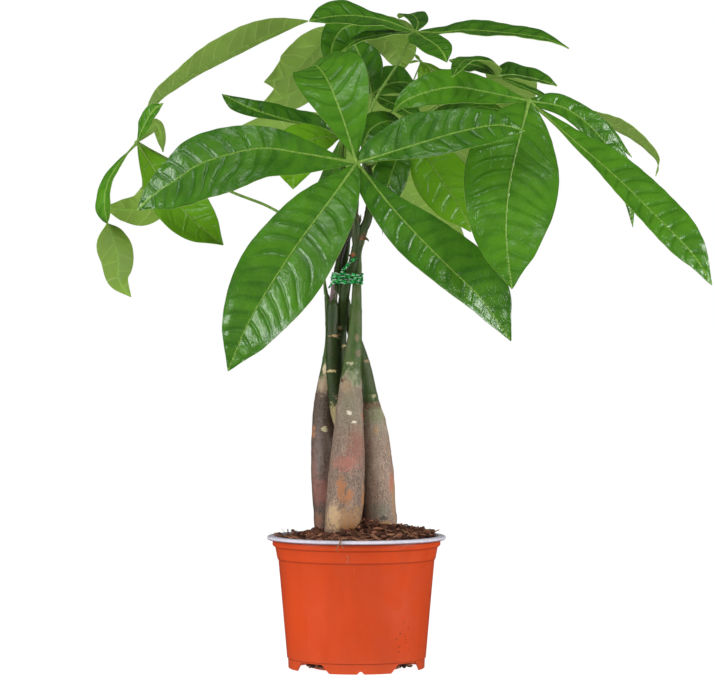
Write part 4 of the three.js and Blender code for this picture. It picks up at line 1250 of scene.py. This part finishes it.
class MONEYTREE_OT_stems(bpy.types.Operator):
    """Grows the five twisted stems with their bark, ring scars and dry scales"""
    bl_idname = "moneytree.stems"
    bl_label = "Stems"

    def execute(self, context):
        settings = context.scene.money_tree.stems
        for number, (name, parts) in enumerate(TRUNKS.items()):
            bm = bmesh.new()
            uv_layer = bm.loops.layers.uv.new("UVMap")
            for points in parts:
                self.stem(bm, points, uv_layer, number, TRUNK_LOOK[name])
            for points, foot in SCALES.get(name, ()):
                self.scale(bm, points, foot, uv_layer)
            tidy_up(bm)
            material = bark_material(name, settings, TRUNK_LOOK[name], TRUNK_MARKS[name])
            piece(bm, name + "_bark", [material], (name,))
        return {"FINISHED"}

    def stem(self, bm, points, uv_layer, number, look):
        route = Route(points)
        start, ragged = look["green_from"], look["ragged"]

        def radius(along, centre):
            end = np.minimum(eased(along, -0.004, 0.004), 1 - eased(along, 0.992, 1.004) * 0.6)
            return centre[:, 3] * np.maximum(end, 0.02)

        def shape(points, angle, along, size):
            barky = 1 - eased(points[:, 2], start - ragged, start + ragged)
            upright = points * np.array([1, 1, 0.09])
            lumps = rough(points * np.array([1, 1, 0.5]), 0.11, number + 2, 2)
            ridges = rough(upright, 0.75, number + 7, 2)
            rings = np.exp(-((points[:, 2] * 0.043 + number * 0.37) % 1 - 0.5) ** 2 * 900)
            moved = size * 0.035 * lumps * (0.4 + barky)
            moved += ridges * look["wrinkle"] * (0.15 + barky)
            return moved + 0.28 * rings * (1 - barky)

        rows = int(route.length / 1.15)
        sides = 56 if max(point[3] for point in points) > 6 else 32
        tube(bm, route, radius, sides, rows, uv_layer, shape)

    def scale(self, bm, points, foot, uv_layer):
        """A dry pointed scale, hollow on one side."""
        route = Route([seen(point) for point in points], 8)

        def shape(places, angle, along, size):
            return size * (0.25 * rough(places, 1.4, 2, 2) - 0.3 * np.maximum(0, np.cos(angle)))

        tube(bm, route, lambda along, _: foot * (1.02 - along) ** 0.6, sides=12, rows=12,
             uv_layer=uv_layer, shape=shape)


# Tie
# Lumps of the knot and the two ends of the foil, as points of the front view with a depth. An end
# has its half width in millimetres too.
KNOT_SPOTS = ([353.5, 275, -12.4], [356, 279, -12], [352, 281.5, -12.2])
FOIL_ENDS = (
    ([[341, 273, -11], [343.5, 269.5, -12.3], [346, 266.5, -12.8], [351, 261.5, -13.2],
      [356.5, 257.5, -13.6]], 0.95),
    ([[331.5, 284, -11.4], [330, 286, -11.8], [328.7, 288.2, -12]], 0.7),
)


def foil_material(settings):
    coat = Finish("green_foil", Metallic=0.45, Specular_IOR_Level=1.0)
    creases = coat.cells(1, source=coat.stretch((520, 520, 1900)))
    painted_glints = coat.cells(1, source=coat.stretch((200, 200, 1100)))
    tint = tuple(settings.foil)
    shine = coat.cloud(600, 4, 0.6)
    colour = coat.mix(coat.span(shine, 0.4, 0.62), toned(tint, 0.16), tint)
    # Painted highlights: near-white glints near the middles of small cells
    colour = coat.mix(coat.span(painted_glints, 0.28, 0.46, 1, 0), colour, paint(226, 255, 236))
    roughness = coat.span(shine, 0.3, 0.7, 0.12, 0.3)
    return coat.finish(colour, roughness, creases, 0.0009, 1.0)


class MONEYTREE_OT_tie(bpy.types.Operator):
    """Winds the foil tie round the stems and twists its tail"""
    bl_idname = "moneytree.tie"
    bl_label = "Tie"

    def execute(self, context):
        settings = context.scene.money_tree.tie
        bm = bmesh.new()
        count = settings.strands
        pitch = TIE_HEIGHT / count
        for strand in range(count):
            self.turn(bm, strand, TIE_Z + pitch * (strand + 0.5))
        self.knot(bm)
        tidy_up(bm)
        piece(bm, "foil_tie", [foil_material(settings)], ("tie",))
        return {"FINISHED"}

    def turn(self, bm, strand, level):
        """One turn of foil drawn tight round the four stems that pass through the tie."""
        rng = random.Random(strand + 3)
        lit_pillow_tops, lean = rng.uniform(0.5, 1.3), rng.uniform(*ANY_TURN)
        stems = []
        for name in ("trunk_front", "trunk_front_left", "trunk_middle", "trunk_right"):
            places = Route(TRUNKS[name][0]).places
            stems.append(places[np.argmin(abs(places[:, 2] - level))])
        points = []
        for step in range(STRAND_STEPS + 2):
            angle = step / STRAND_STEPS * 2 * math.pi
            way = np.array([math.cos(angle), math.sin(angle)])
            stem = max(stems, key=lambda place: place[:2] @ way + place[3])
            x, y = stem[:2] + way * (stem[3] + rng.uniform(0.5, 0.8))
            height = level + lit_pillow_tops * math.cos(angle * 2 + lean) * 0.5 + rng.uniform(-0.2, 0.2)
            points.append((x, y, height))
        route = Route(points, 4)

        def radius(along, _):
            return 0.78 + 0.3 * np.sin(along * 31 + strand * 2) * np.sin(along * 13 + strand)

        def shape(points, angle, along, size):
            twist = np.sin(angle * 3 + along * 90 + strand)
            return 0.22 * twist + 0.4 * rough(points, 1.1, strand, 2)

        tube(bm, route, radius, sides=16, rows=240, shape=shape, lead=(0, 0, 1), flat=0.6)

    def knot(self, bm):
        """The lumps of the knot and the twisted ends of the foil."""
        rng = random.Random(41)
        for spot in KNOT_SPOTS:
            made = bmesh.ops.create_icosphere(bm, subdivisions=3, radius=1.5 * MM)
            shift = Vector([rng.uniform(0, 50) for _ in range(3)])
            centre = Vector(seen(spot)) * MM
            for vert in made["verts"]:
                vert.co *= 1 + 0.5 * noise.noise(vert.co * 1100 + shift)
                vert.co += centre
        for points, size in FOIL_ENDS:
            route = Route([seen(point) for point in points], 10)

            def shape(places, angle, along, radius):
                return radius * 0.55 * np.sin(angle * 2 + along * 22)

            tube(bm, route, size, sides=12, rows=60, shape=shape, lead=(0, -1, 0), flat=0.8)


# Leaves
def half_width(along, half, widest):
    """Half the width of a leaflet along its midrib, drawn out to a fine tip."""
    swell = np.sin(np.pi * np.clip(along, 0, 1) ** widest)
    broad = half * np.maximum(0, swell) ** BLADE_FULLNESS
    return np.maximum(0.3, broad * (1 - 0.3 * eased(along, 0.84, 1)))


def pair(value):
    """The values for a leaflet's two sides: the same one twice, unless it gives both."""
    return value if isinstance(value, list) else [value, value]


def row_count(route, step, fewest, most):
    """Rows of faces along a route, about a step of so many millimetres apart."""
    return int(np.clip(route.length / step, fewest, most))


def vein_count(length):
    """Side veins on each half of a leaflet."""
    return int(np.clip(round(length / VEIN_SPACING), *VEIN_COUNTS))


class LeafMaker:
    """Builds one compound leaf: stalk, hub and leaflets in one mesh."""

    def __init__(self, name, leaf, settings):
        self.leaf = leaf
        self.settings = settings
        self.rng = random.Random(name)
        self.bm = bmesh.new()
        self.uv = self.bm.loops.layers.uv.new("UVMap")
        self.rib = self.bm.verts.layers.float.new("rib")
        self.tone = self.bm.verts.layers.float.new("tone")
        self.hub = seen(leaf["hub"])
        self.slender = leaf.get("slender", 1)

    def build(self):
        for number, leaflet in enumerate(self.leaf["leaflets"]):
            self.blade(leaflet, number)
        self.stalk()
        tidy_up(self.bm)
        return self.bm

    def blade(self, leaflet, number):
        route = Route([self.hub] + [seen(point) for point in leaflet["to"]])
        halves = pair(leaflet["half"])
        widest = pair(leaflet.get("widest", WIDEST_AT))
        half = max(halves)
        rows = row_count(route, *BLADE_ROWS)
        columns = 26 if half > 12 else 16 if half > 5 else 6
        veins = vein_count(route.length)
        quilt = self.settings.quilting / MM * min(1, half / 18)
        seed = number + self.rng.uniform(0, 40)
        stretch = half / route.length

        def spread(across):
            """Rows of points drawn in towards the midrib."""
            out = across * 2 - 1
            return np.sign(out) * np.abs(out) ** 1.35

        def reach(out, along):
            right, left = (half_width(along, halves[i], widest[i]) for i in (0, 1))
            return np.where(out > 0, left, right)

        def phase(out, along):
            side = np.abs(out) * reach(out, along) / half
            bend = stretch * side * (0.2 + 0.5 * side)
            stray = 0.3 * np.sin(along * 9 + seed) + 0.24 * np.sin(along * 23 + seed * 2 + side)
            return veins * (along - bend) + 0.3 * np.sign(out) + stray * side

        def place(across, along):
            out = spread(across)
            centre = route.at(along)
            heading = route.heading(along)
            up = self.upward(leaflet, along, heading)
            side = np.cross(up, heading)
            width = reach(out, along)
            ripple = WAVE * np.sin(2 * math.pi * WAVE_COUNT * along + 2 * np.sign(out))
            soft = np.sqrt(out * out + 0.004) - 0.063
            lift = width * (FOLD * soft + ripple * out * out)
            body = np.clip(np.abs(out) * 5, 0, 1) * (1 - out ** 6) * np.clip(width / 6, 0, 1)
            bulge = np.abs(np.sin(np.pi * phase(out, along))) ** 0.55
            ripe = 0.3 + 0.9 * eased(along, 0.15, 0.55)
            uneven = ripe * (1 + 0.7 * np.sin(along * 17 + seed * 3 + 2.5 * out))
            lift = lift + quilt * body * uneven * (bulge - 0.6)
            frill = 0.15 * np.sin(along * veins * 2 * math.pi + seed + 2 * np.sign(out))
            lift = lift + frill * np.abs(out) ** 5 * np.clip(width / 10, 0, 1)
            points = centre + side * (width * out)[:, None] + up * lift[:, None]
            slow = rough(points, 0.045, int(seed), 1) * np.abs(out) * min(1, half / 15)
            return points + up * slow[:, None]

        def veined(across, along):
            out = spread(across)
            return np.stack([out * 0.5 + 0.5, phase(out, along)], -1)

        verts, faces = sheet(self.bm, columns, rows, place, self.uv, veined)
        grid = np.array([vert.co for vert in verts]) / MM
        nearest = self.distances(grid, route)
        tone = leaflet.get("tone", 0.5) + self.rng.uniform(-TONE_STRAY, TONE_STRAY)
        for vert, gap in zip(verts, nearest):
            vert[self.rib] = gap * MM
            vert[self.tone] = tone
        base = faces[:columns]
        for face in base:
            face.normal_update()
        over = sum(face.normal.dot(Vector(leaflet["face"])) for face in base)
        if over < 0:
            bmesh.ops.reverse_faces(self.bm, faces=faces)
        before = set(self.bm.faces)
        thickness = self.settings.thickness
        bmesh.ops.solidify(self.bm, geom=faces, thickness=thickness)
        for face in self.bm.faces:
            if face not in before:
                face.material_index = 1
        self.petiolule(route, leaflet, half)

    @staticmethod
    def upward(leaflet, along, heading):
        """The way the upper side faces, square to the midrib, for shares along it."""
        face = np.array(leaflet["face"], float)
        turn = np.array(leaflet.get("turn", leaflet["face"]), float)
        facing = face + (turn - face) * eased(along, 0.42, 0.74)[:, None]
        return unit(facing - heading * (heading * facing).sum(1)[:, None])

    @staticmethod
    def distances(points, route):
        """How far each point lies from the midrib, in millimetres."""
        line = route.places[::3, :3]
        gaps = np.linalg.norm(points[:, None, :] - line[None, :, :], axis=2)
        return gaps.min(axis=1)

    def petiolule(self, route, leaflet, half):
        """The leaflet's short stalk, which goes on as the midrib under the blade."""
        reach = 0.985
        shares = np.linspace(0, reach, 16)
        up = self.upward(leaflet, shares, route.heading(shares))
        line = route.at(shares) - up * 0.08
        thick = min(1, 0.45 + half / 40) * (0.6 if self.slender < 1 else 1)
        rib_route = Route(line, 8)

        def radius(along, _):
            return thick * (0.5 * (1 - eased(along, 0, 0.16)) + 0.78 - 0.5 * along)

        rows = row_count(route, *MIDRIB_ROWS)
        verts = tube(self.bm, rib_route, radius, 8, rows, self.uv, lead=tuple(up[0]))
        self.paint_stalk(verts)

    def stalk(self):
        leaf = self.leaf
        root, first = np.array(leaf["root"], float), seen(leaf["petiole"][0])
        foot = root - (first - root) / np.linalg.norm(first - root) * STALK_SEAT
        points = [foot, *map(seen, leaf["petiole"]), self.hub]
        route = Route(points)

        def radius(along, _):
            swell = 1 + 0.45 * eased(along, 0.94, 1) + 0.5 * (1 - eased(along, 0, 0.05))
            return PETIOLE_RADIUS * self.slender * 0.92 * swell

        rows = row_count(route, *PETIOLE_ROWS)
        self.paint_stalk(tube(self.bm, route, radius, 14, rows, self.uv))
        made = bmesh.ops.create_icosphere(self.bm, subdivisions=3,
                                          radius=HUB_RADIUS * self.slender * MM)
        bmesh.ops.translate(self.bm, verts=made["verts"], vec=Vector(self.hub) * MM)
        self.paint_stalk(made["verts"])

    def paint_stalk(self, verts):
        """Marks faces as stalk, with a tone that falls off towards the foot."""
        foot = Vector(self.leaf["root"]) * MM
        for vert in verts:
            vert[self.tone] = min(1, (vert.co - foot).length / (24 * MM))
            for face in vert.link_faces:
                face.material_index = 2


def leaf_upper(settings):
    coat = Finish("glossy_leaf_upper", Specular_IOR_Level=0.55)
    across, phase, _ = coat.parts(coat.uv())
    rib, tone = coat.tag("rib"), coat.tag("tone")
    blotch = coat.cloud(55, 4, 0.6)
    fine = coat.cloud(1100, 4, 0.65)
    share = coat.math("ADD", tone, coat.span(blotch, 0.3, 0.7, -0.16, 0.16))
    colour = coat.mix(share, tuple(settings.deep), tuple(settings.fresh))
    colour = coat.mix(coat.span(tone, 0.65, 1.15), colour, tuple(settings.spring))
    line = coat.math("PINGPONG", phase, 0.5)
    edge = coat.math("ABSOLUTE", coat.math("SUBTRACT", across, 0.5))
    inner = coat.span(edge, 0.3, 0.47, 1, 0)
    # Painted shade: the creases along the side veins darkened, in broken patches
    crease_shade = coat.math("MULTIPLY", coat.span(line, 0.0, 0.06, 1, 0), inner)
    broken = coat.span(coat.cloud(130, 3), 0.4, 0.6, 0.06, 0.36)
    colour = coat.cover(colour, crease_shade, broken, paint(36, 78, 18))
    # Painted highlight: the raised pillows between the vein creases lightened
    lit_pillow_tops = coat.math("MULTIPLY", coat.span(line, 0.14, 0.3), inner)
    colour = coat.cover(colour, lit_pillow_tops, 0.1, paint(112, 164, 44))
    net = coat.span(coat.cells(430, "DISTANCE_TO_EDGE"), 0.0, 0.09, 1, 0)
    colour = coat.cover(colour, net, 0.12, paint(104, 150, 56))
    margin = coat.span(edge, 0.484, 0.494)
    colour = coat.cover(colour, margin, 0.5, paint(58, 92, 34))
    midrib = coat.span(rib, 0.0005, 0.0011, 1, 0)
    colour = coat.cover(colour, midrib, 0.75, tuple(settings.rib))
    pillow = coat.math("MULTIPLY", coat.span(line, 0.0, 0.2), inner)
    relief = coat.plus(pillow, net, -0.08)
    relief = coat.plus(relief, fine, 0.03)
    relief = coat.plus(relief, coat.cloud(150, 2, 0.4), 1.7)
    roughness = coat.span(coat.cloud(240, 4), 0.3, 0.7, 0.17, 0.27)
    return coat.finish(colour, roughness, relief, 0.0006, 0.75)


def leaf_under(settings):
    coat = Finish("matt_leaf_underside", Specular_IOR_Level=0.4)
    phase = coat.parts(coat.uv())[1]
    rib, tone = coat.tag("rib"), coat.tag("tone")
    blotch = coat.cloud(60, 4, 0.6)
    under = tuple(settings.under)
    share = coat.math("ADD", tone, coat.span(blotch, 0.3, 0.7, -0.2, 0.2))
    colour = coat.mix(share, toned(under, 0.7), under)
    line = coat.math("PINGPONG", phase, 0.5)
    vein = coat.span(line, 0.0, 0.08, 1, 0)
    colour = coat.cover(colour, vein, 0.4, paint(168, 192, 104))
    net = coat.span(coat.cells(560, "DISTANCE_TO_EDGE"), 0.0, 0.1, 1, 0)
    colour = coat.cover(colour, net, 0.2, paint(152, 178, 88))
    midrib = coat.span(rib, 0.0005, 0.001, 1, 0)
    colour = coat.mix(midrib, colour, tuple(settings.rib))
    relief = coat.plus(coat.math("MULTIPLY", vein, 0.7), net, 0.08)
    return coat.finish(colour, coat.span(blotch, 0.3, 0.7, 0.42, 0.56), relief, 0.0004, 0.5)


def leaf_stalk(settings):
    coat = Finish("leaf_stalk", Specular_IOR_Level=0.45)
    streaks = coat.cloud(1, 4, 0.6, coat.stretch((900, 900, 200)))
    rib = tuple(settings.rib)
    colour = coat.mix(coat.span(streaks, 0.35, 0.7), toned(rib, 0.55), rib)
    colour = coat.mix(coat.span(coat.tag("tone"), 0.1, 0.9, 0.85, 0), colour, paint(62, 84, 38))
    return coat.finish(colour, coat.span(streaks, 0.3, 0.7, 0.36, 0.5), streaks, 0.0003, 0.4)


class MONEYTREE_OT_leaves(bpy.types.Operator):
    """Unfolds every compound leaf, quilted between its side veins"""
    bl_idname = "moneytree.leaves"
    bl_label = "Leaves"

    def execute(self, context):
        settings = context.scene.money_tree.leaves
        materials = [leaf_upper(settings), leaf_under(settings), leaf_stalk(settings)]
        for name, leaf in LEAVES.items():
            bm = LeafMaker(name, leaf, settings).build()
            piece(bm, name + "_frond", materials, (name,))
        return {"FINISHED"}


# Stage, in metres
FLOOR_HALF = 4
FLOOR_DROP = 0.0001
KEY_WAY = (0.4, 0.85, -0.8)
KEY_SOFTNESS = math.radians(40)
LIGHTS_AIM = (0, 0, 0.26)
SOFTBOX_COLOUR = (0.97, 1, 0.98)
# Softboxes: the share of the fill light's power, the place and the size
SOFTBOXES = {
    "left_softbox": (1, (-1.4, -0.75, 0.5), (0.36, 1.1)),
    "right_softbox": (1.35, (1.42, -0.5, 0.45), (0.36, 1.1)),
    "top_softbox": (0.2, (-0.35, -0.75, 1.5), (0.7, 0.3)),
}


def aimed(lamp, way):
    """Turns a lamp to shine along a direction."""
    lamp.rotation_euler = Vector(way).to_track_quat("-Z", "Y").to_euler()


class MONEYTREE_OT_stage(bpy.types.Operator):
    """Lays the floor, hangs the lights and sets up the camera"""
    bl_idname = "moneytree.stage"
    bl_label = "Stage"

    def execute(self, context):
        settings = context.scene.money_tree.stage
        self.floor(settings)
        self.sun(settings)
        for name, (share, place, size) in SOFTBOXES.items():
            self.softbox(name, settings.fill * share, place, size)
        self.world(settings)
        self.camera(context)
        return {"FINISHED"}

    def floor(self, settings):
        bm = bmesh.new()
        bmesh.ops.create_grid(bm, x_segments=8, y_segments=8, size=FLOOR_HALF)
        bmesh.ops.translate(bm, verts=bm.verts[:], vec=(0, 0, -FLOOR_DROP))
        obj = placed("floor", mesh_of("floor", bm))
        coat = Finish("pale_floor", Specular_IOR_Level=0.0, Emission_Strength=1.0)
        white = tuple(settings.floor)
        coat.shader.inputs["Emission Color"].default_value = (*white, 1)
        colour = coat.mix(coat.cloud(3, 2), toned(white, 0.2), toned(white, 0.19))
        obj.data.materials.append(coat.finish(colour, 0.9))
        obj.visible_glossy = False

    def sun(self, settings):
        """The large soft light, high on the left in front."""
        data = bpy.data.lights.new("key_light", "SUN")
        data.energy = settings.key
        data.angle = KEY_SOFTNESS
        lamp = placed("key_light", data)
        aimed(lamp, KEY_WAY)
        lamp.visible_glossy = False

    def softbox(self, name, power, place, size):
        data = bpy.data.lights.new(name, "AREA")
        data.shape = "RECTANGLE"
        data.energy = power
        data.color = SOFTBOX_COLOUR
        data.size, data.size_y = size
        lamp = placed(name, data)
        lamp.location = place
        aimed(lamp, Vector(LIGHTS_AIM) - lamp.location)

    def world(self, settings):
        """A dim surround, dimmer still in gloss, that looks white to the camera."""
        world = bpy.data.worlds.new("studio")
        world.use_nodes = True
        tree = world.node_tree
        tree.nodes.remove(tree.nodes["Background"])
        path = tree.nodes.new("ShaderNodeLightPath")
        last = None
        for strength, kind in ((settings.surround, None), (settings.mirrored, "Is Glossy Ray"),
                               (1, "Is Camera Ray")):
            shade = tree.nodes.new("ShaderNodeBackground")
            shade.inputs["Strength"].default_value = strength
            shade.inputs["Color"].default_value = (1, 1, 1, 1)
            if kind:
                either = tree.nodes.new("ShaderNodeMixShader")
                tree.links.new(path.outputs[kind], either.inputs[0])
                tree.links.new(last.outputs[0], either.inputs[1])
                tree.links.new(shade.outputs[0], either.inputs[2])
                last = either
            else:
                last = shade
        tree.links.new(last.outputs[0], tree.nodes["World Output"].inputs[0])
        bpy.context.scene.world = world

    def camera(self, context):
        data = bpy.data.cameras.new("camera")
        data.sensor_width = SENSOR
        data.sensor_fit = "HORIZONTAL"
        data.lens = FOCAL / PICTURE_WIDTH * SENSOR
        data.clip_end = 50
        camera = placed("camera", data)
        camera.location = Vector(EYE) * MM
        camera.rotation_euler = (math.pi / 2, 0, 0)
        context.scene.camera = camera
        context.scene.view_settings.view_transform = "Standard"


class MONEYTREE_PT_panel(bpy.types.Panel):
    """Lists the pieces of the potted money tree and their settings"""
    bl_idname = "MONEYTREE_PT_panel"
    bl_label = "Money Tree"
    bl_space_type = "VIEW_3D"
    bl_region_type = "UI"
    bl_category = "Money Tree"

    def draw(self, context):
        settings = context.scene.money_tree
        groups = [(MONEYTREE_OT_pot, settings.pot), (MONEYTREE_OT_soil, settings.soil),
                  (MONEYTREE_OT_stems, settings.stems), (MONEYTREE_OT_tie, settings.tie),
                  (MONEYTREE_OT_leaves, settings.leaves), (MONEYTREE_OT_stage, settings.stage)]
        for operator, group in groups:
            box = self.layout.box()
            box.operator(operator.bl_idname)
            for key in group.__annotations__:
                box.prop(group, key)


CLASSES = (PotSettings, SoilSettings, StemSettings, LeafSettings, TieSettings, StageSettings,
           MoneyTreeSettings, MONEYTREE_OT_pot, MONEYTREE_OT_soil, MONEYTREE_OT_stems,
           MONEYTREE_OT_tie, MONEYTREE_OT_leaves, MONEYTREE_OT_stage, MONEYTREE_PT_panel)


def register():
    for cls in CLASSES:
        bpy.utils.register_class(cls)
    bpy.types.Scene.money_tree = bpy.props.PointerProperty(type=MoneyTreeSettings)


def unregister():
    del bpy.types.Scene.money_tree
    for cls in reversed(CLASSES):
        bpy.utils.unregister_class(cls)


def main():
    register()
    bpy.ops.moneytree.stage()
    bpy.ops.moneytree.pot()
    bpy.ops.moneytree.soil()
    bpy.ops.moneytree.stems()
    bpy.ops.moneytree.tie()
    bpy.ops.moneytree.leaves()


if __name__ == "__main__":
    main()
